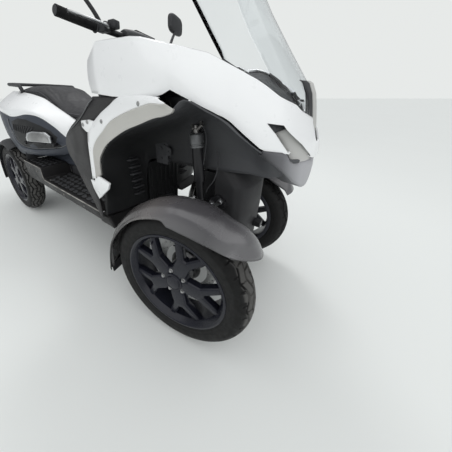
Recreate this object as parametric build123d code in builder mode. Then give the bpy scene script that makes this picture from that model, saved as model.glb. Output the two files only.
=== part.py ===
from build123d import *
import os
from math import cos, sin, tan, radians

# Tilting four-wheeled scooter, parked upright with its front wheels steered a little to the left.
# Millimetres. +X is forward, +Y is the rider's left and +Z is up. The origin is on the floor, in the
# middle plane, midway along the vehicle.

# Running gear
wheelbase = 1570
rear_axle_x = -790
front_axle_x = rear_axle_x + wheelbase
track = 550
half_track = track / 2

# Tyres 110/80-14 and cast rims
tyre_radius = 266
tyre_width = 110
shoulder_radius = 241
shoulder_width = 98
bead_radius = 181
bead_width = 94
flange_radius = 191
flange_width = 4
barrel_wall = 10
spoke_count = 5
spoke_start = 68
spoke_thick = 24
spoke_face = 40
hub_radius = 58
hub_inboard = 30
cap_radius = 27
cap_height = 6
axle_radius = 12
axle_length = 34
run_gap = 0.05
disc_radius = 120
disc_thick = 5
disc_inboard = 52
disc_bore = 15
slot_gap = 4
caliper_face = 34
caliper_depth = 41
strut_face = 66
strut_thick = 6

# Front corners: each knuckle turns on an upright kingpin, and stands steered at rest
kingpin_y = 190
kingpin_radius = 10
kingpin_boss = 19
pin_standout = 6
steer_rest = 7.8
steer_arm = 75
arm_low_z = 205
arm_high_z = 430
arm_thick = 20
arm_root_y = 48
arm_root_x = 790
arm_root_half = 58
arm_tip_half = 21
spindle_radius = 24
tie_rod_x = front_axle_x - 70
tie_rod_z = 330
tie_rod_radius = 9
tie_pin_radius = 6
tie_pin_slack = 2

# Fenders follow the wheel's curve
fender_radius = 311
fender_lead = 20
fender_drop = 4
mudguard_radius = 300
fender_wall = 4
fender_half_width = 62
fender_front_angle = 35
fender_rear_angle = 198
fender_skirt_radius = 257
mudguard_front_angle = 62
mudguard_rear_angle = 192

# Steering column and handlebar
column_rake = 25
column_foot_x = 598
column_foot_z = 616
column_radius = 14
head_radius = 25
head_gap = 2
bar_height = 1064
bar_radius = 11
bar_half = 342
grip_radius = 16

# Frame
low_tube_z = 250
low_tube_y = 50
low_tube_radius = 16
top_tube_z = 600
top_tube_y = 34
top_tube_radius = 14
riser_x = 452
rail_y = 134
rail_radius = 13
carrier_front = 835
carrier_back = 745
carrier_half = 48
post_half = 36
cylinder_y = 147
cylinder_radius = 19
cylinder_cap = 24
cylinder_rod = 13

# Body
clear = 1
floor_top = 393
floor_low = 345
floor_step = 385
floor_front = 378
floor_half = 315
tunnel_half = 148
tunnel_top = 452
skin = 6
arch_face = 335
arch_depth = 55
wall_back = 400
wall_front = 428
dash_top = 1000
seat_hinge_x = 72
seat_hinge_z = 712
sides = {"left": 1, "right": -1}


def save(piece, name):
    """Label a finished piece and write it as one STEP file."""
    piece.label = name
    export_step(piece, f"parts/{name}.step")


def outline(points, plane, rounding=0):
    """Draw the closed outline through points, with its corners rounded where asked."""
    with BuildSketch(plane) as drawn:
        with BuildLine():
            Polyline(*points, close=True)
        make_face()
        if rounding:
            fillet(drawn.vertices(), radius=rounding)
    return drawn.sketch


def slab(points, plane, amount, rounding=0, mode=Mode.ADD):
    """Extrude the closed outline through points out of its plane."""
    extrude(outline(points, plane, rounding), amount=amount, mode=mode)


def block(low, high, mode=Mode.ADD):
    """Add or cut the upright box between two opposite corners."""
    size = [top - bottom for bottom, top in zip(low, high)]
    middle = [(top + bottom) / 2 for bottom, top in zip(low, high)]
    with Locations(tuple(middle)):
        Box(*size, mode=mode)


def rod(start, end, radius, mode=Mode.ADD):
    """Add or cut a round bar from one point to another."""
    way = Vector(*end) - Vector(*start)
    with BuildSketch(Plane(origin=start, z_dir=way)) as section:
        Circle(radius)
    extrude(section.sketch, amount=way.length, mode=mode)


def tube_run(points, radius, bend):
    """Add a round tube along straight runs with tangent bends."""
    with BuildLine() as run:
        FilletPolyline(*points, radius=bend)
    with BuildSketch(Plane(origin=run.line @ 0, z_dir=run.line % 0)) as section:
        Circle(radius)
    sweep(section.sketch, path=run.line)


def wall_loft(table, thickness, mode=Mode.ADD):
    """Loft the left wall through rows of x, low y, low z, mid y, mid z, top y, top z."""
    bands = []
    for x, low_y, low_z, mid_y, mid_z, top_y, top_z in table:
        outside = [(low_y, low_z), (mid_y, mid_z), (top_y, top_z)]
        inside = [(y - thickness, z) for y, z in reversed(outside)]
        bands.append(outline(outside + inside, Plane.YZ.offset(x)))
    loft(bands, ruled=True, mode=mode)


def column_point(z):
    """Give the point of the raked steering axis at a height."""
    return (column_foot_x - (z - column_foot_z) * tan(radians(column_rake)), 0, z)


def steered(piece, side):
    """Turn a front corner's piece about its kingpin, from straight ahead to how it parks."""
    pin = Axis((front_axle_x, side * kingpin_y, 0), (0, 0, 1))
    return piece.rotate(pin, steer_rest)


def turned_bar(piece):
    """Turn a piece of the handlebar about the steering axis to how it parks."""
    foot = column_point(column_foot_z)
    lean = radians(column_rake)
    return piece.rotate(Axis(foot, (-sin(lean), 0, cos(lean))), steer_rest)


def across(centre, side):
    """Give the upright plane through an axle: x outward along the axle, y up."""
    return Plane(origin=centre, x_dir=(0, side, 0), z_dir=(side, 0, 0))


def facing(centre, side, offset):
    """Give the wheel's side plane at an offset outward from its middle, y up."""
    at = (centre[0], centre[1] + side * offset, centre[2])
    return Plane(origin=at, x_dir=(-side, 0, 0), z_dir=(0, side, 0))


def make_tyre(centre, side):
    """Build one tyre as a closed ring with a round crown."""
    half_bead = bead_width / 2
    half_shoulder = shoulder_width / 2
    bulge = tyre_width / 2
    with BuildPart() as tyre:
        with BuildSketch(across(centre, side)):
            with BuildLine():
                Line((-half_bead, bead_radius), (half_bead, bead_radius))
                Line((half_bead, bead_radius), (half_bead, flange_radius))
                ThreePointArc((half_bead, flange_radius), (bulge, 216), (half_shoulder, shoulder_radius))
                ThreePointArc((half_shoulder, shoulder_radius), (0, tyre_radius),
                              (-half_shoulder, shoulder_radius))
                ThreePointArc((-half_shoulder, shoulder_radius), (-bulge, 216), (-half_bead, flange_radius))
                Line((-half_bead, flange_radius), (-half_bead, bead_radius))
            make_face()
        revolve(axis=Axis(centre, (0, 1, 0)))
    return tyre.part


def make_rim(centre, side):
    """Build one cast rim: barrel with flanges, hub with a blind bore, and forked spokes."""
    half_bead = bead_width / 2
    edge = half_bead + flange_width
    barrel_inner = bead_radius - barrel_wall
    barrel = [(-edge, barrel_inner), (edge, barrel_inner), (edge, flange_radius), (half_bead, flange_radius),
              (half_bead, bead_radius), (-half_bead, bead_radius), (-half_bead, flange_radius),
              (-edge, flange_radius)]
    # A forked spoke, along its own middle line and across it
    fork = [(35, 18), (98, 16), (163, 62), (172, 44), (118, 0)]
    spoke = fork + [(along, -over) for along, over in reversed(fork[:4])]
    axle = Axis(centre, (0, 1, 0))
    with BuildPart() as rim:
        revolve(outline(barrel, across(centre, side)), axis=axle)
        with BuildSketch(facing(centre, side, spoke_face)) as star:
            with PolarLocations(0, spoke_count, start_angle=spoke_start):
                add(outline(spoke, Plane.XY))
        extrude(star.sketch, amount=-spoke_thick)
        with BuildSketch(facing(centre, side, spoke_face + 2)) as hub:
            Circle(hub_radius)
        extrude(hub.sketch, amount=-(spoke_face + 2 + hub_inboard))
        with BuildSketch(facing(centre, side, spoke_face + 2)) as cap:
            Circle(cap_radius)
        extrude(cap.sketch, amount=cap_height)
        with BuildSketch(facing(centre, side, -hub_inboard)) as bore:
            Circle(axle_radius + run_gap)
        extrude(bore.sketch, amount=hub_inboard + axle_length + 4, mode=Mode.SUBTRACT)
    return rim.part


def make_disc(centre, side):
    """Build one brake disc on its carrier, against the hub's inboard face."""
    with BuildPart() as disc:
        with BuildSketch(facing(centre, side, -disc_inboard)) as plate:
            Circle(disc_radius)
            Circle(disc_bore, mode=Mode.SUBTRACT)
        extrude(plate.sketch, amount=disc_thick)
        with BuildSketch(facing(centre, side, disc_thick - disc_inboard)) as carrier:
            Circle(hub_radius - 10)
            Circle(disc_bore, mode=Mode.SUBTRACT)
        extrude(carrier.sketch, amount=disc_inboard - disc_thick - hub_inboard)
    return disc.part


def guard(centre, side, crown, skirt_radius, front_angle, rear_angle):
    """Revolve a fender's section about a centre: a crown with a skirt on its outer side."""
    half = fender_half_width
    lead = radians(front_angle)
    plane = Plane(origin=centre, x_dir=(0, side, 0), z_dir=(side * sin(lead), 0, -side * cos(lead)))
    with BuildSketch(plane) as section:
        with BuildLine():
            ThreePointArc((-half, crown - 16), (-8, crown), (half - 8, crown - 13))
            Line((half - 8, crown - 13), (half + 2, skirt_radius))
            Line((half + 2, skirt_radius), (half + 2 - fender_wall, skirt_radius))
            Line((half + 2 - fender_wall, skirt_radius), (half - 11, crown - 16.5))
            ThreePointArc((half - 11, crown - 16.5), (-8, crown - fender_wall),
                          (-half, crown - 16 - fender_wall))
            Line((-half, crown - 16 - fender_wall), (-half, crown - 16))
        make_face()
    revolve(section.sketch, axis=Axis(centre, (0, -1, 0)), revolution_arc=rear_angle - front_angle)


def make_fender(centre, side):
    """Build one front fender, its outer skirt cut straight ahead of the axle and round behind it."""
    # The skirt's lower edge ahead of the axle, from the axle: forward and up
    front_cut = [(-12, 0), (-12, 257), (-5, 243), (191, 211), (330, 188), (330, 0)]
    middle = (centre[0] + fender_lead, centre[1], centre[2] - fender_drop)
    with BuildPart() as fender:
        guard(middle, side, fender_radius, fender_skirt_radius - 14, fender_front_angle, fender_rear_angle)
        plane = Plane(origin=(centre[0], centre[1] + side * 20, centre[2]), x_dir=(1, 0, 0),
                      z_dir=(0, -1, 0))
        slab(front_cut, plane, -side * 80, mode=Mode.SUBTRACT)
        with BuildSketch(plane) as rear_cut:
            Circle(fender_skirt_radius)
            with Locations((fender_skirt_radius - 12, 0)):
                Rectangle(2 * fender_skirt_radius, 2 * fender_skirt_radius, mode=Mode.SUBTRACT)
        extrude(rear_cut.sketch, amount=-side * 80, mode=Mode.SUBTRACT)
    return fender.part


def make_knuckle(centre, side):
    """Build one knuckle: kingpin, spindle, caliper, fender strut and steering arm."""
    x = centre[0]
    pin_y = side * kingpin_y
    low = arm_low_z + arm_thick
    disc_inner = centre[1] - side * disc_inboard
    # Outlines beside the wheel, from the axle: forward and up
    strut = [(-20, 0), (20, 0), (30, 96), (58, 138), (-14, 138), (-34, 126), (-64, 186), (-60, 280),
             (-92, 269), (-96, 190), (-40, 90)]
    strut_foot = [(-92, 260), (-60, 271), (-60, 280), (-92, 269)]
    caliper = [(-12, 86), (52, 86), (60, 138), (-12, 142)]
    lever = [(10, 12), (10, -12), (-steer_arm - 12, -10), (-steer_arm - 12, 10)]
    with BuildPart() as knuckle:
        slab(caliper, facing_forward(centre, side, -caliper_face), side * caliper_depth)
        with BuildSketch(facing_forward(centre, side, disc_thick + slot_gap - disc_inboard)) as slot:
            Circle(disc_radius + slot_gap + 2)
        extrude(slot.sketch, amount=side * (disc_thick + 2 * slot_gap), mode=Mode.SUBTRACT)
        slab(strut, facing_forward(centre, side, -strut_face), side * strut_thick)
        slab(strut_foot, facing_forward(centre, side, -fender_half_width), side * 10)
        rod((x, pin_y, low + run_gap), (x, pin_y, arm_high_z - run_gap), kingpin_boss)
        rod((x, pin_y, arm_low_z - pin_standout), (x, pin_y, low + run_gap), kingpin_radius)
        rod((x, pin_y, arm_high_z - run_gap), (x, pin_y, arm_high_z + arm_thick + pin_standout),
            kingpin_radius)
        rod((x, pin_y, centre[2]), (x, disc_inner - side * slot_gap, centre[2]), spindle_radius)
        rod((x, disc_inner - side * slot_gap, centre[2]), (x, centre[1] + side * axle_length, centre[2]),
            axle_radius)
        slab(lever, Plane.XY.offset(tie_rod_z - 26).shift_origin((x, pin_y, tie_rod_z - 26)), 12)
        rod((x - steer_arm, pin_y, tie_rod_z - 14), (x - steer_arm, pin_y, tie_rod_z + 12), tie_pin_radius)
    return knuckle.part


def facing_forward(centre, side, offset):
    """Give the upright plane beside a wheel with x forward and y up; it faces the left side."""
    at = (centre[0], centre[1] + side * offset, centre[2])
    return Plane(origin=at, x_dir=(1, 0, 0), z_dir=(0, -1, 0))


os.makedirs("parts", exist_ok=True)

# Wheels, knuckles and fenders, corner by corner: name, axle x, side, steered
corners = [(f"{end}_{word}", x, side, end == "front")
           for end, x in (("front", front_axle_x), ("rear", rear_axle_x)) for word, side in sides.items()]
for name, axle_x, side, turns in corners:
    centre = (axle_x, side * half_track, tyre_radius)
    pieces = {"tyre": make_tyre(centre, side), "rim": make_rim(centre, side)}
    if turns:
        pieces["disc"] = make_disc(centre, side)
        pieces["knuckle"] = make_knuckle(centre, side)
        pieces["fender"] = make_fender(centre, side)
    for kind, piece in pieces.items():
        save(steered(piece, side) if turns else piece, f"{name}_{kind}")

# Frame: low tubes, front carrier with its post, top tubes, risers, seat rails and cross beams
beam_xs = (370, 80, -215)
beam_half = 220
rail_foot = (-215, rail_y, floor_low - 5)
rail_path = [rail_foot, (-215, rail_y, 560), (-980, rail_y, 650)]
with BuildPart() as frame:
    for y in (-low_tube_y, low_tube_y):
        rod((carrier_back, y, low_tube_z), (-620, y, low_tube_z), low_tube_radius)
    for y in (-top_tube_y, top_tube_y):
        rod((carrier_back + 12, y, top_tube_z), (riser_x, y, top_tube_z), top_tube_radius)
        rod((riser_x, y, low_tube_z), (riser_x, y, top_tube_z), top_tube_radius)
    block((carrier_back, -carrier_half, 200), (carrier_front, carrier_half, 588))
    block((carrier_back + 10, -post_half, 588), (carrier_back + 42, post_half, 772))
    block((carrier_back + 10, -118, 748), (carrier_back + 42, 118, 772))
    block((692, -28, tie_rod_z - 18), (carrier_back, 28, tie_rod_z + 18))
    block((carrier_front, -15, 395), (978, 15, 415))
    block((570, -top_tube_y, 594), (625, top_tube_y, 606))
    rod(column_point(600), column_point(830), head_radius)
    rod(column_point(column_foot_z), column_point(840), column_radius + run_gap, mode=Mode.SUBTRACT)
    rod((tie_rod_x, -40, tie_rod_z), (tie_rod_x, 40, tie_rod_z), tie_rod_radius + run_gap, mode=Mode.SUBTRACT)
    for x in beam_xs:
        block((x - 15, -beam_half, 305), (x + 15, beam_half, floor_low))
        block((x - 12, -60, low_tube_z + 8), (x + 12, 60, 306))
    for x in (-315, -560):
        block((x - 15, -60, low_tube_z + 8), (x + 15, 60, 274))
    block((-620, -80, 225), (-610, 80, 275))
    for side in sides.values():
        tube_run([(x, side * y, z) for x, y, z in rail_path], rail_radius, 70)
    block((-990, -rail_y, 636), (-970, rail_y, 656))
    block((-752, 134, 596), (-718, 192, 612))
    block((-752, -192, 596), (-718, -134, 612))
save(frame.part, "frame")

with BuildPart() as engine:
    block((-600, -118, 274), (-262, 118, 478))
save(engine.part, "engine")

# Front arms: an upper and a lower plate on each side, bored for the kingpins
with BuildPart() as front_arms:
    for side in sides.values():
        for z in (arm_low_z, arm_high_z):
            at = Plane.XY.offset(z)
            pin = (front_axle_x, side * kingpin_y)
            slab([(pin[0] - arm_tip_half, pin[1]), (pin[0] + arm_tip_half, pin[1]),
                  (arm_root_x + arm_root_half, side * arm_root_y),
                  (arm_root_x - arm_root_half, side * arm_root_y)],
                 at, arm_thick)
            rod((*pin, z), (*pin, z + arm_thick), arm_tip_half)
            rod((*pin, z), (*pin, z + arm_thick), kingpin_radius + run_gap, mode=Mode.SUBTRACT)
save(front_arms.part, "front_arms")

# Tilt cylinders, leaning back from the upper arms to the frame's cross bar
with BuildPart() as tilt_cylinders:
    low = (800, cylinder_y, arm_high_z + arm_thick)
    neck = (786, cylinder_y, 585)
    high = (772, cylinder_y, 708)
    rod(low, neck, cylinder_rod)
    rod(neck, high, cylinder_radius)
    rod(high, (768, cylinder_y, 752), cylinder_cap)
    rod((768, cylinder_y, 752), (766, cylinder_y, 778), cylinder_rod)
    block((carrier_back + 12, 118, 750), (carrier_back + 40, cylinder_y - 10, 770))
    # The lower end is cut level where it seats on the arm
    block((760, 100, arm_high_z), (840, 190, arm_high_z + arm_thick), mode=Mode.SUBTRACT)
    mirror(about=Plane.XZ)
save(tilt_cylinders.part, "tilt_cylinders")

# Tie rod: a bar in the carrier's bushing with a slotted eye over each steering arm's pin
eye_shift = -steer_arm * sin(radians(steer_rest))
with BuildPart() as tie_rod:
    reach = kingpin_y - 14
    rod((tie_rod_x, eye_shift - reach, tie_rod_z), (tie_rod_x, eye_shift + reach, tie_rod_z), tie_rod_radius)
    for side in sides.values():
        y = eye_shift + side * kingpin_y
        block((tie_rod_x - 22, y - 16, tie_rod_z - 7), (tie_rod_x + 22, y + 16, tie_rod_z + 7))
        slack = tie_pin_radius + tie_pin_slack
        block((tie_rod_x - 8 - slack, y - slack, tie_rod_z - 10),
              (tie_rod_x + 8 + slack, y + slack, tie_rod_z + 10), mode=Mode.SUBTRACT)
save(tie_rod.part, "tie_rod")

# Rear arms on a cross member, with the rear axles
with BuildPart() as rear_arms:
    block((-650, -192, 230), (-620, 192, 270))
    for side in sides.values():
        y = sorted((side * 168, side * 192))
        block((-865, y[0], 240), (-640, y[1], 292))
        rod((rear_axle_x, side * 181, tyre_radius), (rear_axle_x, side * 219, tyre_radius), spindle_radius)
        rod((rear_axle_x, side * 219, tyre_radius), (rear_axle_x, side * (half_track + axle_length),
            tyre_radius), axle_radius)
save(rear_arms.part, "rear_arms")

with BuildPart() as rear_shocks:
    rod((-745, 178, 292), (-735, 168, 596), 18)
    rod((-743, 176, 340), (-737, 170, 520), 26)
    block((-790, 140, 280), (-690, 200, 292), mode=Mode.SUBTRACT)
    block((-790, 120, 596), (-690, 200, 612), mode=Mode.SUBTRACT)
    mirror(about=Plane.XZ)
save(rear_shocks.part, "rear_shocks")

with BuildPart() as rear_mudguards:
    for side in sides.values():
        centre = (rear_axle_x, side * half_track, tyre_radius)
        guard(centre, side, mudguard_radius, fender_skirt_radius + 8, mudguard_front_angle,
              mudguard_rear_angle)
        y = sorted((side * 192, side * 213))
        block((-862, y[0], 246), (-838, y[1], 541))
        y = sorted((side * 205, side * 228))
        block((-862, y[0], 530), (-838, y[1], 543))
save(rear_mudguards.part, "rear_mudguards")

with BuildPart() as muffler:
    rod((-600, 0, 410), (-700, 0, 410), 20)
    rod((-690, 0, 420), (-1045, 0, 446), 60)
    rod((-1040, 0, 446), (-1062, 0, 448), 24)
save(muffler.part, "muffler")

# Nose: plan outlines of the left half low and high, lofted, then cut to the side outline
nose_low = [(1105, 0), (1097, 50), (1080, 100), (1056, 150), (1006, 200), (958, 240), (910, 280),
            (820, 312), (700, 332), (500, 335)]
nose_high = [(1024, 0), (1012, 48), (990, 94), (954, 136), (904, 184), (858, 220), (815, 254),
             (770, 290), (680, 320), (500, 325)]
nose_side = [(1110, 716), (1096, 718), (1051, 729), (1001, 735), (953, 780), (919, 815), (879, 835),
             (830, 860), (790, 884), (762, 862), (618, 862), (522, 870), (500, 960), (540, 1000),
             (700, 992), (860, 955), (965, 900), (1040, 846), (1060, 830), (1078, 808), (1110, 770)]


def plan_loft(low_plan, low_z, high_plan, high_z):
    """Loft both halves between two plan outlines given for the left side."""
    whole = [plan + [(x, -y) for x, y in reversed(plan) if y] for plan in (low_plan, high_plan)]
    loft([outline(plan, Plane.XY.offset(z)) for plan, z in zip(whole, (low_z, high_z))], ruled=True)


lamp_low = (1000, 3, 744)
lamp_high = (1120, 34, 802)
# A scoop in each flank, open to the side
scoop = [(990, 801), (1019, 779), (1054, 731), (1072, 724), (1090, 732), (1080, 748), (1040, 787), (1029, 795)]
scoop_floor = 106
with BuildPart() as nose_blank:
    plan_loft(nose_low, 700, nose_high, 1020)
    slab(nose_side, Plane.XZ.offset(-400), 800, mode=Mode.INTERSECT)
with BuildPart() as headlamps:
    add(nose_blank.part)
    block(lamp_low, lamp_high, mode=Mode.INTERSECT)
    mirror(about=Plane.XZ)
save(headlamps.part, "headlamps")
with BuildPart() as nose_fairing:
    add(nose_blank.part)
    block(lamp_low, lamp_high, mode=Mode.SUBTRACT)
    block((lamp_low[0], -lamp_high[1], lamp_low[2]), (lamp_high[0], -lamp_low[1], lamp_high[2]),
          mode=Mode.SUBTRACT)
    for near in (scoop_floor, -200):
        slab(scoop, Plane.XZ.offset(-near), scoop_floor - 200, mode=Mode.SUBTRACT)
    rod(column_point(840), column_point(1060), head_radius + head_gap, mode=Mode.SUBTRACT)
save(nose_fairing.part, "nose_fairing")

# Chin: the same plan below the nose, its underside a shallow keel
chin_front = [(0, 612), (100, 640), (150, 678), (205, 731), (-205, 731), (-150, 678), (-100, 640)]
chin_side = [(1001, 731), (1051, 725), (1096, 714), (1110, 712), (1098, 655), (1086, 612), (1001, 612)]
with BuildPart() as chin:
    plan_loft([(x - 4, y) for x, y in nose_low], 600, [(x - 4, y) for x, y in nose_low], 735)
    slab(chin_front, Plane.YZ.offset(900), 300, mode=Mode.INTERSECT)
    slab(chin_side, Plane.XZ.offset(-300), 600, mode=Mode.INTERSECT)
save(chin.part, "chin")

# Front shield: a hollow cowl over the carrier, open behind, with a rounded front
shield_back = 832
shield_half = 110
shield_front = 985
shield_low = 272
shield_top = 638
with BuildPart() as front_shield:
    for inset, mode in ((0, Mode.ADD), (skin, Mode.SUBTRACT)):
        half = shield_half - inset
        with BuildSketch(Plane.XY.offset(shield_low)) as plan:
            with BuildLine():
                Polyline((938, half), (shield_back - inset, half), (shield_back - inset, -half), (938, -half))
                ThreePointArc((938, -half), (shield_front - inset, 0), (938, half))
            make_face()
        extrude(plan.sketch, amount=shield_top - shield_low, mode=mode)
save(front_shield.part, "front_shield")

# Wheel arches: the inner walls flare from the middle up to the nose, the back walls close the wells
well_half = 280
well_inner = 104
rib_half = 110
liner_sections = [(470, 130, 150, 280), (780, 110, 112, 285), (1001, 112, 150, 200)]
with BuildPart() as wheel_well_liner:
    faces = []
    for x, low_half, mid_half, top_half in liner_sections:
        half = [(low_half, 640), (mid_half, 735 if x > 900 else 792), (top_half, 900)]
        faces.append(outline(half + [(-y, z) for y, z in reversed(half)], Plane.YZ.offset(x)))
    loft(faces, ruled=True)
    # Under the nose's lower edge
    slab([(470, 640), (470, 861), (762, 861), (788, 880), (830, 858), (879, 833), (919, 813), (953, 778),
          (1001, 733), (1001, 640)], Plane.XZ.offset(-400), 800, mode=Mode.INTERSECT)
    # A rib along each side below, hollow between them over the frame's top tubes, and a wall behind
    slab([(470, 640), (470, 584), (484, 584), (484, 616), (700, 616), (740, 622), (832, 640)],
         Plane.XZ.offset(-rib_half), 2 * rib_half)
    block((588, -well_inner, 580), (900, well_inner, 639), mode=Mode.SUBTRACT)
    block((470, -well_inner, 584), (900, well_inner, 622), mode=Mode.SUBTRACT)
    block((470, -rib_half, 290), (484, rib_half, 584))
    for y in (-well_half, well_inner):
        slab([(430, 394), (430, 861), (470, 861), (470, 560), (442, 500), (436, 394)],
             Plane.XZ.offset(well_inner - well_half - y), well_half - well_inner)
    block((carrier_back + 8, -post_half - 2, 580), (carrier_back + 44, post_half + 2, 774),
          mode=Mode.SUBTRACT)
    block((carrier_back + 8, -200, 746), (carrier_back + 44, 200, 774), mode=Mode.SUBTRACT)
    rod(column_point(590), column_point(900), head_radius + head_gap, mode=Mode.SUBTRACT)
save(wheel_well_liner.part, "wheel_well_liner")

# White arch trims: a hooked band round each well's back, as deep as its inner flange
arch_back = [(415, 471), (380, 522), (372, 545), (405, 561), (411, 616), (419, 696), (427, 748),
             (403, 762), (404, 783), (487, 793), (558, 830), (618, 861)]
arch_front = [(747, 861), (790, 858), (810, 850), (822, 834), (800, 824), (742, 809), (634, 771),
              (551, 731), (494, 689), (464, 647), (456, 585), (507, 567), (493, 534)]
with BuildPart() as arch_trims:
    slab(arch_back + arch_front, Plane.XZ.offset(-arch_face), arch_depth - clear)
    mirror(about=Plane.XZ)
save(arch_trims.part, "arch_trims")

# Leg shield: a wall facing the rider with a wing on each side and the dashboard on top
wing_back = [(470, 861), (416, 824), (328, 776), (267, 740), (212, 693), (207, 639), (254, 578),
             (297, 507), (344, 447), (366, 414), (386, floor_step), (424, floor_step)]
wing_face = 322
wall_half = arch_face - arch_depth
dash_back = 380
box_low_y = 60
box_high_y = 220
box_low_z = 886
box_high_z = 948
lid_gap = 5
box_pin = (dash_back + 6, 878)
box_pin_radius = 5
with BuildPart() as leg_shield:
    slab(wing_back + arch_back, Plane.XZ.offset(-wing_face), wing_face - wall_half)
    mirror(about=Plane.XZ)
    block((wall_back, -wall_half, floor_step), (wall_front, wall_half, 861))
    slab([(wall_back, 861), (wall_front, 861), (520, 868), (496, 958), (536, dash_top), (440, 1012),
          (dash_back, 962), (dash_back, 850), (wall_back, 850)], Plane.XZ.offset(-240), 480)
    # The glovebox's hollow with room for its lid's lower edge, and the bores for the lid's pin
    block((dash_back - 10, box_low_y, box_low_z), (484, box_high_y, box_high_z), mode=Mode.SUBTRACT)
    block((dash_back - 10, box_low_y, 860), (404, box_high_y, box_low_z), mode=Mode.SUBTRACT)
    rod((box_pin[0], box_low_y - 10, box_pin[1]), (box_pin[0], box_high_y + 10, box_pin[1]),
        box_pin_radius + run_gap, mode=Mode.SUBTRACT)
    rod(column_point(700), column_point(1100), head_radius + head_gap, mode=Mode.SUBTRACT)
save(leg_shield.part, "leg_shield")

# Glovebox lid in the dashboard, hinged along its lower edge
lid_y = (box_low_y + lid_gap, box_high_y - lid_gap)
with BuildPart() as glovebox_lid:
    block((dash_back - 4, lid_y[0], 884), (dash_back + 4, lid_y[1], box_high_z - lid_gap))
    block((dash_back - 4, lid_y[0], 872), (dash_back + 12, lid_y[1], 886))
    rod((box_pin[0], box_low_y - 8, box_pin[1]), (box_pin[0], box_high_y + 8, box_pin[1]), box_pin_radius)
    block((dash_back - 14, 120, 924), (dash_back - 4, 160, 934))
save(glovebox_lid.part, "glovebox_lid")

# Windscreen: a sheet curved in plan and leaning back, standing on the nose
screen_thick = 4
screen_half = 200
screen_foot_x = 1084
screen_foot_z = 790
screen_lean = 30
screen_top = 1338
screen_front = [(-208, 700), (-208, 1120), (-188, 1240), (-130, 1312), (-60, screen_top),
                (60, screen_top), (130, 1312), (188, 1240), (208, 1120), (208, 700)]
with BuildPart() as windscreen:
    back = screen_foot_x - 127
    with BuildSketch(Plane.XY.offset(screen_foot_z)) as plan:
        with BuildLine():
            ThreePointArc((back, -screen_half), (screen_foot_x, 0), (back, screen_half))
            Line((back, screen_half), (back - screen_thick, screen_half))
            ThreePointArc((back - screen_thick, screen_half), (screen_foot_x - screen_thick, 0),
                          (back - screen_thick, -screen_half))
            Line((back - screen_thick, -screen_half), (back, -screen_half))
        make_face()
    lean = radians(screen_lean)
    extrude(plan.sketch, amount=640, dir=(-sin(lean), 0, cos(lean)))
    slab(screen_front, Plane.YZ.offset(500), 700, mode=Mode.INTERSECT)
    slab(nose_side, Plane.XZ.offset(-400), 800, mode=Mode.SUBTRACT)
save(windscreen.part, "windscreen")

# Floorboards each side of a tunnel, stepped up behind the rider's feet
board = [(478, 347), (444, floor_step), (floor_front, floor_step), (floor_front, floor_top),
         (-215, floor_top), (-232, 463), (-500, 463), (-508, floor_low), (470, floor_low)]
with BuildPart() as floorboards:
    slab(board, Plane.XZ.offset(-floor_half), floor_half - tunnel_half)
    mirror(about=Plane.XZ)
    block((-198, -tunnel_half, floor_low), (wall_back, tunnel_half, tunnel_top))
    for x in beam_xs:
        block((x - 16, -40, 300), (x + 16, 40, floor_low), mode=Mode.SUBTRACT)
save(floorboards.part, "floorboards")

# Under-seat sides: x, low y, low z, mid y, mid z, top y, top z on the left
white_rows = [(35, 140, 694, 146, 700, 138, 706), (-69, 180, 635, 178, 690, 143, 741),
              (-152, 211, 698, 205, 735, 150, 772), (-245, 241, 749, 236, 770, 156, 806),
              (-348, 271, 762, 266, 790, 166, 846), (-472, 291, 745, 290, 790, 176, 868),
              (-589, 298, 745, 297, 790, 176, 878), (-930, 258, 766, 256, 800, 140, 894),
              (-1080, 118, 800, 116, 830, 86, 890)]
dark_rows = [(0, 140, 604, 150, 620, 150, 634), (-69, 170, 566, 188, 600, 180, 634),
             (-152, 200, 552, 222, 620, 211, 697), (-245, 232, 545, 258, 640, 241, 748),
             (-348, 262, 522, 288, 640, 271, 761), (-472, 285, 508, 305, 640, 291, 744),
             (-589, 292, 506, 308, 640, 298, 744), (-700, 292, 574, 308, 650, 300, 744),
             (-930, 240, 640, 262, 700, 258, 765)]
with BuildPart() as side_panels:
    wall_loft(white_rows, skin)
    mirror(about=Plane.XZ)
save(side_panels.part, "side_panels")
# Below them a skirt stands on the tunnel and the step behind it, its top let into the panel's lower edge
skirt_rows = [(-69, tunnel_half, tunnel_top, 150, 500, 170, 569),
              (-152, tunnel_half, tunnel_top, 156, 500, 200, 555),
              (-215, tunnel_half + skin, tunnel_top, 164, 500, 221.7, 550),
              (-232, 156, 463, 168, 500, 227.5, 549),
              (-348, 156, 463, 180, 495, 262, 525), (-472, 156, 463, 190, 490, 285, 511)]
with BuildPart() as lower_side_panels:
    wall_loft(dark_rows, skin)
    wall_loft(skirt_rows, skin)
    mirror(about=Plane.XZ)
save(lower_side_panels.part, "lower_side_panels")

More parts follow.
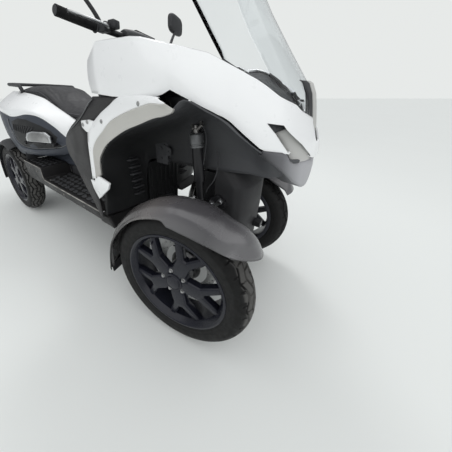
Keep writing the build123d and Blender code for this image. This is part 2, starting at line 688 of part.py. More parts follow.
# Storage tub under the seat, open at the top, with the seat's hinge lugs at its front
tub_half = 119
tub_wall = 4
lug_radius = 10
with BuildPart() as storage_tub:
    slab([(-440, 490), (-60, 490), (28, 640), (28, 705), (-440, 705)], Plane.XZ.offset(-tub_half),
         2 * tub_half)
    slab([(-436, 494), (-62, 494), (24, 641), (24, 720), (-436, 720)],
         Plane.XZ.offset(tub_wall - tub_half), 2 * (tub_half - tub_wall), mode=Mode.SUBTRACT)
    for side in sides.values():
        y = sorted((side * 22, side * 38))
        block((24, y[0], seat_hinge_z - lug_radius), (seat_hinge_x, y[1], seat_hinge_z + lug_radius))
        rod((seat_hinge_x, y[0], seat_hinge_z), (seat_hinge_x, y[1], seat_hinge_z), lug_radius)
        y = sorted((side * (tub_half - 1), side * (rail_y - rail_radius)))
        block((-262, y[0], 552), (-232, y[1], 578))
    rod((seat_hinge_x, -50, seat_hinge_z), (seat_hinge_x, 50, seat_hinge_z), 5 + run_gap,
        mode=Mode.SUBTRACT)
save(storage_tub.part, "storage_tub")

# Cover below the seat's front, from the tunnel up, with a cheek on each side
cover_front = [(40, 712), (40, 690), (36, 640), (-26, 520), (-60, tunnel_top)]
cover_back = [(-68, tunnel_top), (-34, 522), (31, 642), (34, 690), (34, 712)]
cover_half = 131
with BuildPart() as seat_front_cover:
    slab(cover_front + cover_back, Plane.XZ.offset(-cover_half), 2 * cover_half)
    for inboard in (-cover_half, cover_half - skin):
        slab(cover_front + [(-196, tunnel_top), (-196, 640)], Plane.XZ.offset(inboard), skin)
    block((20, -50, 680), (44, 50, 716), mode=Mode.SUBTRACT)
save(seat_front_cover.part, "seat_front_cover")

# Seat: a stepped base on the hinge with one stepped cushion
base_side = [(86, 724), (86, 734), (-69, 740), (-240, 756), (-320, 800), (-420, 846), (-890, 864),
             (-890, 854), (-426, 836), (-316, 786), (-236, 746), (-69, 730), (30, 726), (30, 724)]
seat_plan = [(99, 50), (86, 86), (35, 118), (-69, 128), (-245, 142), (-348, 150), (-472, 160), (-700, 148),
             (-890, 130), (-905, 100)]
cushion_rest = 0.3
seat_whole = seat_plan + [(x, -y) for x, y in reversed(seat_plan)]
cushion_side = [(96, 736), (99, 758), (80, 776), (-60, 781), (-160, 784), (-250, 820), (-330, 872),
                (-400, 908), (-520, 915), (-860, 912), (-905, 892), (-898, 866)]
cushion_foot = [(-890, 864), (-420, 846), (-320, 800), (-240, 756), (-69, 740), (86, 734)]
cushion_side += [(x, z + cushion_rest) for x, z in cushion_foot]
with BuildPart() as seat_base:
    slab(seat_whole, Plane.XY.offset(700), 250)
    slab(base_side, Plane.XZ.offset(-200), 400, mode=Mode.INTERSECT)
    block((seat_hinge_x - 10, -18, seat_hinge_z - 8), (seat_hinge_x + 10, 18, 726))
    rod((seat_hinge_x, -38, seat_hinge_z), (seat_hinge_x, 38, seat_hinge_z), 5)
save(seat_base.part, "seat_base")
with BuildPart() as seat_cushion:
    slab(seat_whole, Plane.XY.offset(700), 250)
    slab(cushion_side, Plane.XZ.offset(-200), 400, mode=Mode.INTERSECT)
save(seat_cushion.part, "seat_cushion")

# Tail between the side panels, its lamp, the grab rail and the plate holder
tail_plan = [(-912, 90), (-912, -90), (-1076, -72), (-1090, -50), (-1090, 50), (-1076, 72)]
with BuildPart() as tail_fairing:
    slab(tail_plan, Plane.XY.offset(786), 92)
    block((-1100, -56, 806), (-1080, 56, 852), mode=Mode.SUBTRACT)
save(tail_fairing.part, "tail_fairing")
with BuildPart() as tail_lamp:
    block((-1096, -55, 807), (-1080, 55, 851))
save(tail_lamp.part, "tail_lamp")
with BuildPart() as grab_rail:
    tube_run([(-640, 172, 881.2), (-640, 178, 925), (-900, 168, 940), (-985, 110, 945), (-985, -110, 945),
              (-900, -168, 940), (-640, -178, 925), (-640, -172, 881.2)], 12, 30)
save(grab_rail.part, "grab_rail")
with BuildPart() as plate_holder:
    block((-1080, -14, 560), (-1068, 14, 786))
    block((-1080, -100, 520), (-1076, 100, 690))
    for y in (-75, 75):
        rod((-1090, y, 640), (-1070, y, 640), 3.5, mode=Mode.SUBTRACT)
save(plate_holder.part, "plate_holder")

# Passenger footrests, folded up beside the lower side panels on pins in lugs: built along the panel
rest_turn = 19.6
rest_z = 604
rest_half = 95
rest_thick = 14
lug_gap = 6
lug_long = 14
rest_plane = Plane(origin=(-240, 276, rest_z), x_dir=(-cos(radians(rest_turn)), sin(radians(rest_turn)), 0),
                   z_dir=(0, 0, 1))
pin_ends = [rest_plane.from_local_coords((along, 0, 0)) for along in (-rest_half - 16, rest_half + 16)]
with BuildPart() as footrest:
    with Locations(rest_plane):
        with Locations((0, 0, 37)):
            Box(2 * rest_half, rest_thick, 62)
        with Locations((0, 0, 2)):
            Box(rest_half, rest_thick, 12)
    rod(pin_ends[0], pin_ends[1], 5)
with BuildPart() as footrest_brackets:
    with Locations(rest_plane):
        for along in (-1, 1):
            with Locations((along * (rest_half + lug_gap + lug_long / 2), 30, 0)):
                Box(lug_long, 80, 20)
    wall_loft(dark_rows, 120, mode=Mode.SUBTRACT)
    rod(pin_ends[0], pin_ends[1], 5 + run_gap, mode=Mode.SUBTRACT)
    mirror(about=Plane.XZ)
save(footrest.part, "footrest_left")
save(footrest.part.mirror(Plane.XZ), "footrest_right")
save(footrest_brackets.part, "footrest_brackets")

# Brackets that carry the rear body on the frame: low and high corners on the left
bracket_boxes = [((-600, rail_y, 598), (-580, 301, 610)), ((-296, rail_y, 566), (-284, 250, 572)),
                 ((-990, 40, 656), (-970, 60, 786))]
with BuildPart() as body_brackets:
    for low, high in bracket_boxes:
        block(low, high)
    mirror(about=Plane.XZ)
    add(frame.part, mode=Mode.SUBTRACT)
    add(lower_side_panels.part, mode=Mode.SUBTRACT)
save(body_brackets.part, "body_brackets")

# Handlebar with its column, cowl, grips and levers, and the mirrors on it: all follow the bar's middle
bar_x, _, bar_z = column_point(bar_height)
grip_end = (bar_x - 39, bar_half, bar_z + 14)
grip_start = (bar_x - 27, 218, bar_z + 8)
stalk_foot = (bar_x - 13, 202, bar_z + 6)
stalk_end = (bar_x - 36.3, 296.7, bar_z + 122)
mirror_foot = (bar_x - 38.3, 304.9, bar_z + 132)
mirror_at = (bar_x - 43, 325, bar_z + 172)
stalk_radius = 6
lever_radius = 5


def on_side(point, side):
    """Give a point of the left half on either side."""
    return (point[0], side * point[1], point[2])


with BuildPart() as handlebar:
    rod(column_point(column_foot_z + 6), (bar_x, 0, bar_z), column_radius)
    tube_run([on_side(grip_end, -1), (bar_x + 4, -140, bar_z), (bar_x + 4, 140, bar_z), grip_end],
             bar_radius, 60)
    block((bar_x - 34, -120, bar_z - 26), (bar_x + 44, 120, bar_z + 34))
    for side in sides.values():
        rod(on_side(grip_start, side), on_side(grip_end, side), grip_radius)
        y = sorted((side * 190, side * 214))
        block((bar_x - 21, y[0], bar_z - 8), (bar_x + 21, y[1], bar_z + 16))
        rod((bar_x + 15, side * 200, bar_z + 4), (bar_x + 3, side * 330, bar_z + 10), lever_radius)
        rod(on_side(stalk_foot, side), on_side(stalk_end, side), stalk_radius)
with BuildPart() as mirrors:
    for side in sides.values():
        with Locations(Location(on_side(mirror_at, side), (0, 0, side * 4))):
            Box(24, 140, 88)
    for side in sides.values():
        rod(on_side(stalk_end, side), on_side(mirror_foot, side), stalk_radius)
save(turned_bar(handlebar.part), "handlebar")
save(turned_bar(mirrors.part), "mirrors")
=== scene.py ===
"""Looks of the four-wheeled tilting scooter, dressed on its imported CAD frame.

Sizes are in millimetres in the shared frame: +X forward, +Y to the rider's left and +Z up, with the
origin on the floor. A mesh is brought to metres when it becomes an object.
"""

import logging
import math
from dataclasses import dataclass, field
from enum import Enum
from typing import Callable, Iterable, Sequence

import bmesh
import bpy
from bmesh.types import BMesh
from bpy.types import Material, NodeSocket, Object
from mathutils import Matrix, Vector


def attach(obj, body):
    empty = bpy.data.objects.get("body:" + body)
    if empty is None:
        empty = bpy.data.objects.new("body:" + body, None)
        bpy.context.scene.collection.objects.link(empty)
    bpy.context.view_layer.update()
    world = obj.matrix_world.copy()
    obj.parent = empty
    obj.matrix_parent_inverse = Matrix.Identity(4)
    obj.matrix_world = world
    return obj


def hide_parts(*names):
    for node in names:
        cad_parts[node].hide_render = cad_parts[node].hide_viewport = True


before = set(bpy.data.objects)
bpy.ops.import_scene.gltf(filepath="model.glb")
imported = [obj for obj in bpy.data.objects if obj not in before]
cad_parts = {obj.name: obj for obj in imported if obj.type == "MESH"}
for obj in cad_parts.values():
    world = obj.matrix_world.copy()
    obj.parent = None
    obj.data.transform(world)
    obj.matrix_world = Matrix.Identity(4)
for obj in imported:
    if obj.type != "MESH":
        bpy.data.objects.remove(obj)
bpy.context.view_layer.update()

log = logging.getLogger("scooter")
Point = Sequence[float]
Points = Sequence[Point]

WHEEL_X = {"front": 780.0, "rear": -790.0}
HALF_TRACK = 275.0
AXLE_Z = 266.0
KINGPIN_Y = 190.0
STEER_REST = math.radians(7.8)
COLUMN_RAKE = math.radians(25)
COLUMN_FOOT = Vector((598, 0, 616))

# The tyre's "land" attribute: on a land, on the wall and in a groove
ON_LAND, ON_WALL, IN_GROOVE = 1.0, 0.5, 0.0
CROWN_HALF = 49.0
LAND_HALF = 48.5
LAND_DEPTH = 1.5
WALL_RADIUS = 240.0

# The cushion's cloth run, in metres
SEAT_VOXEL = 0.006
SEWN_BAND = 0.010
CLOTH_FRAMES = 20
CLOTH_PRESSURE = 4
CLOTH_REACH = 0.016


class Side(Enum):
    """The vehicle's two sides, with the sign of Y on each."""

    LEFT = 1
    RIGHT = -1

    @property
    def word(self) -> str:
        """Give the side's name as the nodes spell it."""
        return self.name.lower()


class Shader:
    """A material's nodes, built round one Principled shader."""

    def __init__(self, name: str) -> None:
        """Start an empty material with its shader and Object coordinates.

        Args:
            name: The material's name.
        """
        self.material = bpy.data.materials.new(name)
        self.material.use_nodes = True
        self.tree = self.material.node_tree
        self.tree.nodes.clear()
        self.out = self.tree.nodes.new("ShaderNodeOutputMaterial")
        self.surface = self.tree.nodes.new("ShaderNodeBsdfPrincipled")
        self.tree.links.new(self.surface.outputs[0], self.out.inputs[0])
        self.place = self.tree.nodes.new("ShaderNodeTexCoord").outputs["Object"]

    def plain(self, **values: float | Sequence[float]) -> None:
        """Set sockets of the shader that are the same all over.

        Args:
            values: Socket names in lower case with underscores, and their values.
        """
        names = {s.name.lower().replace(" ", "_"): s for s in self.surface.inputs}
        for key, value in values.items():
            names[key].default_value = value

    def noise(self, scale: float, detail: float = 3.0, stretch: Point = (1, 1, 1)) -> NodeSocket:
        """Add a noise pattern on Object coordinates.

        Args:
            scale: The pattern's frequency per metre.
            detail: Its number of octaves.
            stretch: Factors on the coordinates' axes.

        Returns:
            The socket that carries the pattern, from 0 to 1.
        """
        mapping = self.tree.nodes.new("ShaderNodeMapping")
        mapping.inputs["Scale"].default_value = stretch
        self.tree.links.new(self.place, mapping.inputs[0])
        node = self.tree.nodes.new("ShaderNodeTexNoise")
        node.inputs["Scale"].default_value = scale
        node.inputs["Detail"].default_value = detail
        self.tree.links.new(mapping.outputs[0], node.inputs["Vector"])
        return node.outputs["Fac"]

    def cells(self, scale: float) -> NodeSocket:
        """Add a cell pattern's distances, for leather grain.

        Args:
            scale: The cells per metre.

        Returns:
            The socket that carries each point's distance to its cell's middle.
        """
        node = self.tree.nodes.new("ShaderNodeTexVoronoi")
        node.inputs["Scale"].default_value = scale
        self.tree.links.new(self.place, node.inputs["Vector"])
        return node.outputs["Distance"]

    def ramp(self, source: NodeSocket, stops: Sequence[tuple[float, Point]]) -> NodeSocket:
        """Turn a pattern into colours.

        Args:
            source: The pattern's socket.
            stops: Positions from 0 to 1, each with its colour.

        Returns:
            The colour socket.
        """
        node = self.tree.nodes.new("ShaderNodeValToRGB")
        while len(node.color_ramp.elements) < len(stops):
            node.color_ramp.elements.new(0.5)
        for element, (at, colour) in zip(node.color_ramp.elements, stops):
            element.position = at
            element.color = (*colour, 1)
        self.tree.links.new(source, node.inputs[0])
        return node.outputs[0]

    def span(self, source: NodeSocket, low: float, high: float) -> NodeSocket:
        """Bring a pattern's middle range to run between two values.

        Args:
            source: The pattern's socket.
            low: The value where the pattern is dark.
            high: The value where it is bright.

        Returns:
            The value socket.
        """
        node = self.tree.nodes.new("ShaderNodeMapRange")
        for socket, value in (("From Min", 0.3), ("From Max", 0.7), ("To Min", low), ("To Max", high)):
            node.inputs[socket].default_value = value
        self.tree.links.new(source, node.inputs["Value"])
        return node.outputs[0]

    def along(self, axis: int, low: float, high: float) -> NodeSocket:
        """Run from 0 to 1 between two places along an axis, roughened by noise.

        Args:
            axis: 0, 1 or 2.
            low: The place in metres where it is 0.
            high: The place where it is 1.

        Returns:
            The value socket.
        """
        split = self.tree.nodes.new("ShaderNodeSeparateXYZ")
        self.tree.links.new(self.place, split.inputs[0])
        node = self.tree.nodes.new("ShaderNodeMapRange")
        for socket, value in (("From Min", low), ("From Max", high)):
            node.inputs[socket].default_value = value
        self.tree.links.new(split.outputs[axis], node.inputs["Value"])
        mix = self.tree.nodes.new("ShaderNodeMath")
        mix.operation = "MULTIPLY_ADD"
        self.tree.links.new(self.noise(9, 5), mix.inputs[0])
        mix.inputs[1].default_value = 0.1
        self.tree.links.new(node.outputs[0], mix.inputs[2])
        return mix.outputs[0]

    def stored(self, name: str) -> NodeSocket:
        """Read a value that is stored on the mesh.

        Args:
            name: The attribute's name.

        Returns:
            The value socket.
        """
        node = self.tree.nodes.new("ShaderNodeAttribute")
        node.attribute_name = name
        return node.outputs["Fac"]

    def colour(self, source: NodeSocket) -> None:
        """Feed the base colour from a colour socket."""
        self.tree.links.new(source, self.surface.inputs["Base Color"])

    def rough(self, source: NodeSocket) -> None:
        """Feed the roughness from a value socket."""
        self.tree.links.new(source, self.surface.inputs["Roughness"])

    def bump(self, source: NodeSocket, depth: float, strength: float = 1.0) -> None:
        """Raise the surface by a pattern.

        Args:
            source: The height's socket.
            depth: The height of the pattern in metres.
            strength: How much of it shows.
        """
        node = self.tree.nodes.new("ShaderNodeBump")
        node.inputs["Distance"].default_value = depth
        node.inputs["Strength"].default_value = strength
        self.tree.links.new(source, node.inputs["Height"])
        self.tree.links.new(node.outputs[0], self.surface.inputs["Normal"])


@dataclass(frozen=True)
class Plastic:
    """Moulded plastic: two close tones, fine moulded grain and uneven gloss."""

    name: str
    colour: Point
    rough: float = 0.5
    spread: float = 0.25
    grain: float = 900.0
    depth: float = 0.0004
    patch: float = 6.0
    gloss: float = 0.28

    def build(self) -> Material:
        """Build the material."""
        shader = Shader(self.name)
        dark = [c * (1 - self.spread) for c in self.colour]
        light = [min(1.0, c * (1 + self.spread)) for c in self.colour]
        shader.colour(shader.ramp(shader.noise(self.patch, 6),
                                  [(0.3, dark), (0.55, self.colour), (0.75, light)]))
        shader.rough(shader.span(shader.noise(self.patch * 2.5, 5), self.rough - 0.07, self.rough + 0.09))
        shader.plain(specular_ior_level=self.gloss)
        shader.bump(shader.noise(self.grain, 2), self.depth)
        return shader.material


@dataclass(frozen=True)
class PaintedLightAlongX:
    """Plastic with light and shade painted into its colour as a ramp along X, as on the chin, the fenders and
    the wheel well.
    """

    name: str
    stops: Sequence[tuple[float, Point]]
    low: float
    high: float
    rough: float = 0.45
    gloss: float = 0.3

    def build(self) -> Material:
        """Build the material."""
        shader = Shader(self.name)
        # The colour ramp along X is painted light and shade, not a change in the plastic
        shader.colour(shader.ramp(shader.along(0, self.low, self.high), self.stops))
        shader.rough(shader.span(shader.noise(16, 5), self.rough - 0.07, self.rough + 0.08))
        shader.plain(specular_ior_level=self.gloss)
        shader.bump(shader.noise(900, 2), 0.0002)
        return shader.material


@dataclass(frozen=True)
class Paint:
    """Gloss paint under a clear coat, with a slight unevenness and a little dust."""

    name: str
    colour: Point
    rough: float = 0.3
    coat: float = 0.6
    dust: float = 0.03

    def build(self) -> Material:
        """Build the material."""
        shader = Shader(self.name)
        dusty = [c * (1 - self.dust) for c in self.colour]
        shader.colour(shader.ramp(shader.noise(9, 7), [(0.35, self.colour), (0.8, dusty)]))
        shader.rough(shader.span(shader.noise(30, 6), self.rough - 0.04, self.rough + 0.06))
        shader.plain(coat_weight=self.coat, coat_roughness=0.08)
        shader.bump(shader.noise(260, 1), 0.00006, 0.5)
        return shader.material


@dataclass(frozen=True)
class Metal:
    """Bare or painted metal: cast skin or brush lines, and stains."""

    name: str
    colour: Point
    rough: float = 0.4
    metallic: float = 1.0
    grain: float = 500.0
    stretch: Point = (1, 1, 1)
    stain: float = 0.35
    coat: float = 0.0
    gloss: float = 0.5

    def build(self) -> Material:
        """Build the material."""
        shader = Shader(self.name)
        dull = [c * (1 - self.stain) for c in self.colour]
        shader.colour(shader.ramp(shader.noise(14, 7), [(0.35, dull), (0.6, self.colour)]))
        shader.rough(shader.span(shader.noise(self.grain, 3, self.stretch), self.rough - 0.08,
                                 self.rough + 0.1))
        shader.plain(metallic=self.metallic, coat_weight=self.coat, coat_roughness=0.1,
                     specular_ior_level=self.gloss)
        shader.bump(shader.noise(self.grain, 2, self.stretch), 0.0003, 0.6)
        return shader.material


@dataclass(frozen=True)
class Rubber:
    """Tyre rubber: matt black, greyed by dust or, on a tread, paler on its lands for wear and a painted
    highlight and darker in its grooves as painted shade.
    """

    name: str
    colour: Point
    dusty: Point
    rough: float = 0.72
    worn: bool = False
    # The grooves' colour is painted shade
    groove: Point = (0.005, 0.005, 0.005)
    land_wear_and_highlight: float = 3.0

    def build(self) -> Material:
        """Build the material."""
        shader = Shader(self.name)
        if self.worn:
            # Lands paler for wear and a painted highlight, grooves darker as painted shade
            mix = shader.ramp(shader.stored("land"), [(IN_GROOVE, self.groove), (ON_WALL, self.colour),
                                                      (ON_LAND, [c * self.land_wear_and_highlight for c in self.dusty])])
        else:
            mix = shader.ramp(shader.noise(22, 9), [(0.4, self.colour), (0.78, self.dusty)])
        shader.colour(mix)
        shader.rough(shader.span(shader.noise(60, 5), self.rough - 0.1, self.rough + 0.12))
        shader.plain(specular_ior_level=0.2)
        shader.bump(shader.noise(1100, 3), 0.0005, 0.7)
        return shader.material


@dataclass(frozen=True)
class Vinyl:
    """Seat cover: pebbled grain with soft wrinkles."""

    name: str
    colour: Point
    rough: float = 0.55

    def build(self) -> Material:
        """Build the material."""
        shader = Shader(self.name)
        light = [c * 1.5 for c in self.colour]
        shader.colour(shader.ramp(shader.noise(10, 6), [(0.35, self.colour), (0.75, light)]))
        shader.rough(shader.span(shader.noise(40, 5), self.rough - 0.08, self.rough + 0.1))
        shader.bump(shader.cells(420), 0.0006, 0.8)
        return shader.material


@dataclass(frozen=True)
class Clear:
    """Clear or tinted glass and screens."""

    name: str
    tint: Point
    rough: float = 0.03
    ior: float = 1.2

    def build(self) -> Material:
        """Build the material."""
        shader = Shader(self.name)
        darker = [c * 0.97 for c in self.tint]
        shader.colour(shader.ramp(shader.noise(5, 3), [(0.3, self.tint), (0.7, darker)]))
        shader.plain(transmission_weight=1.0, roughness=self.rough, ior=self.ior)
        shader.bump(shader.noise(40, 2), 0.00002, 0.3)
        return shader.material


def made(kind: type, *values: object) -> Material:
    """Give a field of a dataclass that builds its own finish.

    Args:
        kind: The finish's class.
        values: What the class takes, in order.

    Returns:
        The field, which holds the material once the dataclass is made.
    """
    return field(default_factory=lambda: kind(*values).build())


@dataclass(frozen=True)
class Finishes:
    """Every finish of the scooter, built once."""

    white: Material = made(Paint, "white_gloss", (0.87, 0.88, 0.885))
    # White in painted shade, for the scoop floors and the screen garnish
    shade_white: Material = made(Plastic, "white_inside", (0.50, 0.50, 0.485), 0.5, 0.08, 500, 0.0001)
    # Wheel well liner: black, with painted shade darkest at the back of the well and lighter towards its
    # front
    liner: Material = made(PaintedLightAlongX, "liner_black", (
        (0.0, (0.013, 0.0135, 0.0145)), (0.35, (0.022, 0.0225, 0.024)), (1.0, (0.080, 0.082, 0.088))),
        0.55, 0.97, 0.5)
    cowl: Material = made(Plastic, "cowl_dark", (0.042, 0.043, 0.046), 0.5, 0.25)
    wall: Material = made(Plastic, "shield_dark", (0.030, 0.029, 0.030), 0.46, 0.2)
    shield: Material = made(Plastic, "carrier_cowl", (0.028, 0.028, 0.030), 0.55, 0.25)
    # The arch trim's inner flange: white in painted shade
    flange: Material = made(Plastic, "arch_inner", (0.56, 0.55, 0.52), 0.45, 0.06, 500, 0.0001)
    collar: Material = made(Metal, "collar_grey", (0.22, 0.225, 0.23), 0.45, 0.7)
    # Chin: painted light, pale at the front, and painted shade on the flanks behind it
    chin: Material = made(PaintedLightAlongX, "chin_grey", ((0.05, (0.06, 0.06, 0.065)), (0.5, (0.14, 0.14, 0.15)),
        (0.95, (0.40, 0.40, 0.42))), 1.0, 1.09)
    # Fender: a painted highlight on the crown and painted shade, near black, towards the rear
    guard: Material = made(PaintedLightAlongX, "fender_grey", (
        (0.0, (0.006, 0.006, 0.006)), (0.14, (0.012, 0.011, 0.011)), (0.30, (0.062, 0.058, 0.058)),
        (0.50, (0.145, 0.134, 0.132)), (0.64, (0.095, 0.091, 0.097)), (0.86, (0.055, 0.053, 0.058)),
        (1.0, (0.105, 0.103, 0.108))), 0.48, 1.03, 0.24, 0.8)
    slate: Material = made(Plastic, "side_slate", (0.048, 0.055, 0.070), 0.42, 0.15)
    # A pale finish: wear, and on the boards' upper edge a painted highlight
    worn: Material = made(Plastic, "worn_edge", (0.30, 0.29, 0.27), 0.5, 0.5, 600, 0.0004, 30)
    tread: Material = made(Plastic, "board_black", (0.016, 0.0155, 0.016), 0.42, 0.3)
    steel: Material = made(Metal, "chassis_black", (0.016, 0.016, 0.018), 0.42, 0.15, 700, (1, 1, 1), 0.2,
                           0.1, 0.35)
    cast: Material = made(Metal, "wheel_black", (0.012, 0.013, 0.020), 0.24, 0.1, 600, (1, 1, 1), 0.2, 0.0,
                          0.34)
    alloy: Material = made(Metal, "satin_alloy", (0.60, 0.61, 0.62), 0.36)
    bright: Material = made(Metal, "bright_steel", (0.72, 0.72, 0.73), 0.18, 1, 300, (1, 1, 1), 0.1)
    brushed: Material = made(Metal, "brake_steel", (0.42, 0.42, 0.42), 0.34, 1, 900, (1, 0.1, 1))
    engine: Material = made(Metal, "engine_grey", (0.20, 0.20, 0.205), 0.55, 0.8, 700)
    exhaust: Material = made(Metal, "exhaust_steel", (0.30, 0.29, 0.28), 0.42, 1, 500)
    # The tread's lands carry wear and a painted highlight, its grooves painted shade
    tyre: Material = made(Rubber, "tyre_rubber", (0.011, 0.011, 0.011), (0.024, 0.0235, 0.0225), 0.62, True)
    grip: Material = made(Rubber, "grip_rubber", (0.012, 0.012, 0.013), (0.02, 0.02, 0.02), 0.8)
    seat: Material = made(Vinyl, "seat_vinyl", (0.018, 0.018, 0.020))
    thread: Material = made(Plastic, "seat_thread", (0.10, 0.10, 0.11), 0.7, 0.2)
    screen: Material = made(Clear, "screen_clear", (0.90, 0.92, 0.93))
    lens: Material = made(Clear, "lamp_lens", (0.96, 0.97, 0.98))
    red: Material = made(Paint, "lamp_red", (0.42, 0.012, 0.012), 0.15, 1.0)
    ruby: Material = made(Paint, "lamp_cells", (0.16, 0.004, 0.004), 0.2, 1.0)
    amber: Material = made(Paint, "lamp_amber", (0.75, 0.22, 0.02), 0.15, 1.0)
    mirror: Material = made(Metal, "mirror_face", (0.85, 0.86, 0.87), 0.1, 1, 50, (1, 1, 1), 0.02)


def lathe(profile: Points, steps: int, sweep: float = math.tau) -> BMesh:
    """Spin a profile of (along the axle, radius) about the local X axis.

    Args:
        profile: Points along the axle and out from it. A last point equal to the first closes it.
        steps: Steps round the axle.
        sweep: How far it turns.

    Returns:
        The new bmesh.
    """
    bm = bmesh.new()
    closed = tuple(profile[0]) == tuple(profile[-1])
    verts = [bm.verts.new((u, 0, r)) for u, r in (profile[:-1] if closed else profile)]
    edges = [bm.edges.new(pair) for pair in zip(verts, verts[1:])]
    if closed:
        edges.append(bm.edges.new((verts[-1], verts[0])))
    full = abs(sweep - math.tau) < 1e-6
    bmesh.ops.spin(bm, geom=verts + edges, cent=(0, 0, 0), axis=(1, 0, 0), angle=sweep, steps=steps,
                   use_merge=full)
    bmesh.ops.remove_doubles(bm, verts=bm.verts, dist=0.001)
    bmesh.ops.recalc_face_normals(bm, faces=bm.faces)
    return bm


def skin(rows: Sequence[Points], around: bool = False, caps: bool = False) -> BMesh:
    """Skin rows of points into one surface.

    Args:
        rows: Rows of equally many points.
        around: Whether each row closes on itself.
        caps: Whether the first and last row are filled.

    Returns:
        The new bmesh.
    """
    lines = [list(row) + [row[0]] for row in rows] if around else [list(row) for row in rows]
    bm = bmesh.new()
    made = bmesh.ops.create_grid(bm, x_segments=len(lines[0]) - 1, y_segments=len(lines) - 1, size=1)
    for vert, point in zip(made["verts"], (p for line in lines for p in line)):
        vert.co = point
    if around:
        bmesh.ops.remove_doubles(bm, verts=bm.verts, dist=0.0005)
    if caps:
        bmesh.ops.holes_fill(bm, edges=bm.edges, sides=0)
    bmesh.ops.recalc_face_normals(bm, faces=bm.faces)
    return bm


def smooth_line(points: Points, steps: int) -> list[Vector]:
    """Run a smooth curve through points.

    Args:
        points: The points to pass, of any dimension up to three.
        steps: Steps between two of them.

    Returns:
        The curve's points, with both ends.
    """
    p = [Vector(q) for q in points]
    p = [p[0] * 2 - p[1], *p, p[-1] * 2 - p[-2]]
    out = []
    for a, b, c, d in zip(p, p[1:], p[2:], p[3:]):
        for k in range(steps):
            t = k / steps
            out.append(0.5 * ((2 * b) + (c - a) * t + (2 * a - 5 * b + 4 * c - d) * t ** 2
                              + (3 * b - a - 3 * c + d) * t ** 3))
    return [*out, p[-2]]


def tube(points: Points, radius: float, sides: int = 10, taper: Callable[[float], float] | None = None) \
        -> BMesh:
    """Run a round tube along points, with closed ends.

    Args:
        points: Its middle line.
        radius: Its radius.
        sides: Facets round it.
        taper: A factor on the radius for each place along it, from 0 to 1.

    Returns:
        The new bmesh.
    """
    line = [Vector(q) for q in points]
    up = (line[1] - line[0]).orthogonal().normalized()
    rows = []
    for k, here in enumerate(line):
        way = (line[min(k + 1, len(line) - 1)] - line[max(k - 1, 0)]).normalized()
        up = (up - way * up.dot(way)).normalized()
        out = way.cross(up)
        r = radius * (taper(k / (len(line) - 1)) if taper else 1)
        rows.append([here + (up * math.cos(a) + out * math.sin(a)) * r
                     for a in (math.tau * i / sides for i in range(sides))])
    return skin(rows, around=True, caps=True)


def plate(points: Points, depth: Point, bevel: float = 0, segments: int = 2, inset: float = 0,
          rise: float = 0) -> BMesh:
    """Extrude a flat outline into a plate.

    Args:
        points: The outline in space.
        depth: The way and distance it is extruded.
        bevel: Rounding of all its edges.
        segments: Steps of the rounding.
        inset: A border drawn on the far face.
        rise: How far the face inside the border stands out.

    Returns:
        The new bmesh.
    """
    bm = bmesh.new()
    base = bm.faces.new([bm.verts.new(p) for p in points])
    made = bmesh.ops.extrude_face_region(bm, geom=[base])
    top = next(f for f in made["geom"] if isinstance(f, bmesh.types.BMFace))
    bmesh.ops.translate(bm, verts=list(top.verts), vec=Vector(depth))
    bmesh.ops.recalc_face_normals(bm, faces=bm.faces)
    if inset:
        bmesh.ops.inset_region(bm, faces=[top], thickness=inset, depth=rise, use_even_offset=True)
    if bevel:
        bmesh.ops.bevel(bm, geom=bm.edges[:], offset=bevel, segments=segments, profile=0.5,
                        affect="EDGES", clamp_overlap=True, material=-1)
    return bm


def crate(low: Point, high: Point, bevel: float = 2, segments: int = 2) -> BMesh:
    """Build an upright box with rounded edges between two corners.

    Args:
        low: The lowest corner.
        high: The highest corner.
        bevel: The edges' rounding.
        segments: Steps of the rounding.

    Returns:
        The new bmesh.
    """
    bm = bmesh.new()
    bmesh.ops.create_cube(bm, size=1)
    lo, hi = Vector(low), Vector(high)
    bmesh.ops.scale(bm, vec=hi - lo, verts=bm.verts)
    bmesh.ops.translate(bm, vec=(hi + lo) / 2, verts=bm.verts)
    if bevel:
        bmesh.ops.bevel(bm, geom=bm.edges[:], offset=bevel, segments=segments, profile=0.5,
                        affect="EDGES", clamp_overlap=True, material=-1)
    return bm


def knob(start: Point, end: Point, radius: float, sides: int = 16, chamfer: float = 1.0) -> BMesh:
    """Build a short round or faceted bar with chamfered ends, such as a bolt's head.

    Args:
        start: The middle of one end.
        end: The middle of the other.
        radius: Its radius.
        sides: Facets round it; six make a hexagon.
        chamfer: The ends' chamfer.

    Returns:
        The new bmesh.
    """
    a, b = Vector(start), Vector(end)
    way = (b - a).normalized()
    cut = min(chamfer, radius * 0.5, (b - a).length * 0.4)
    shape = [(a, radius - cut), (a + way * cut, radius), (b - way * cut, radius), (b, radius - cut)]
    up = way.orthogonal().normalized()
    out = way.cross(up)
    rows = [[p + (up * math.cos(t) + out * math.sin(t)) * r
             for t in (math.tau * i / sides for i in range(sides))] for p, r in shape]
    return skin(rows, around=True, caps=True)


def merged(parts: Iterable[BMesh]) -> BMesh:
    """Join several bmeshes into one and free them.

    Args:
        parts: The bmeshes.

    Returns:
        The bmesh that holds them all.
    """
    whole = bmesh.new()
    for part in parts:
        mesh = bpy.data.meshes.new("part")
        part.to_mesh(mesh)
        part.free()
        whole.from_mesh(mesh)
        bpy.data.meshes.remove(mesh)
    return whole


def mirrored(bm: BMesh) -> BMesh:
    """Give a copy of a bmesh on the other side of the middle plane.

    Args:
        bm: The bmesh on one side, which is kept.

    Returns:
        The mirrored copy.
    """
    other = bm.copy()
    bmesh.ops.scale(other, vec=(1, -1, 1), verts=other.verts)
    bmesh.ops.reverse_faces(other, faces=other.faces)
    return other


def both(bm: BMesh) -> BMesh:
    """Join a bmesh with its mirrored copy."""
    return merged([bm, mirrored(bm)])


def moved(bm: BMesh, matrix: Matrix) -> BMesh:
    """Move a bmesh in place by a matrix and give it back."""
    bmesh.ops.transform(bm, matrix=matrix, verts=bm.verts)
    return bm


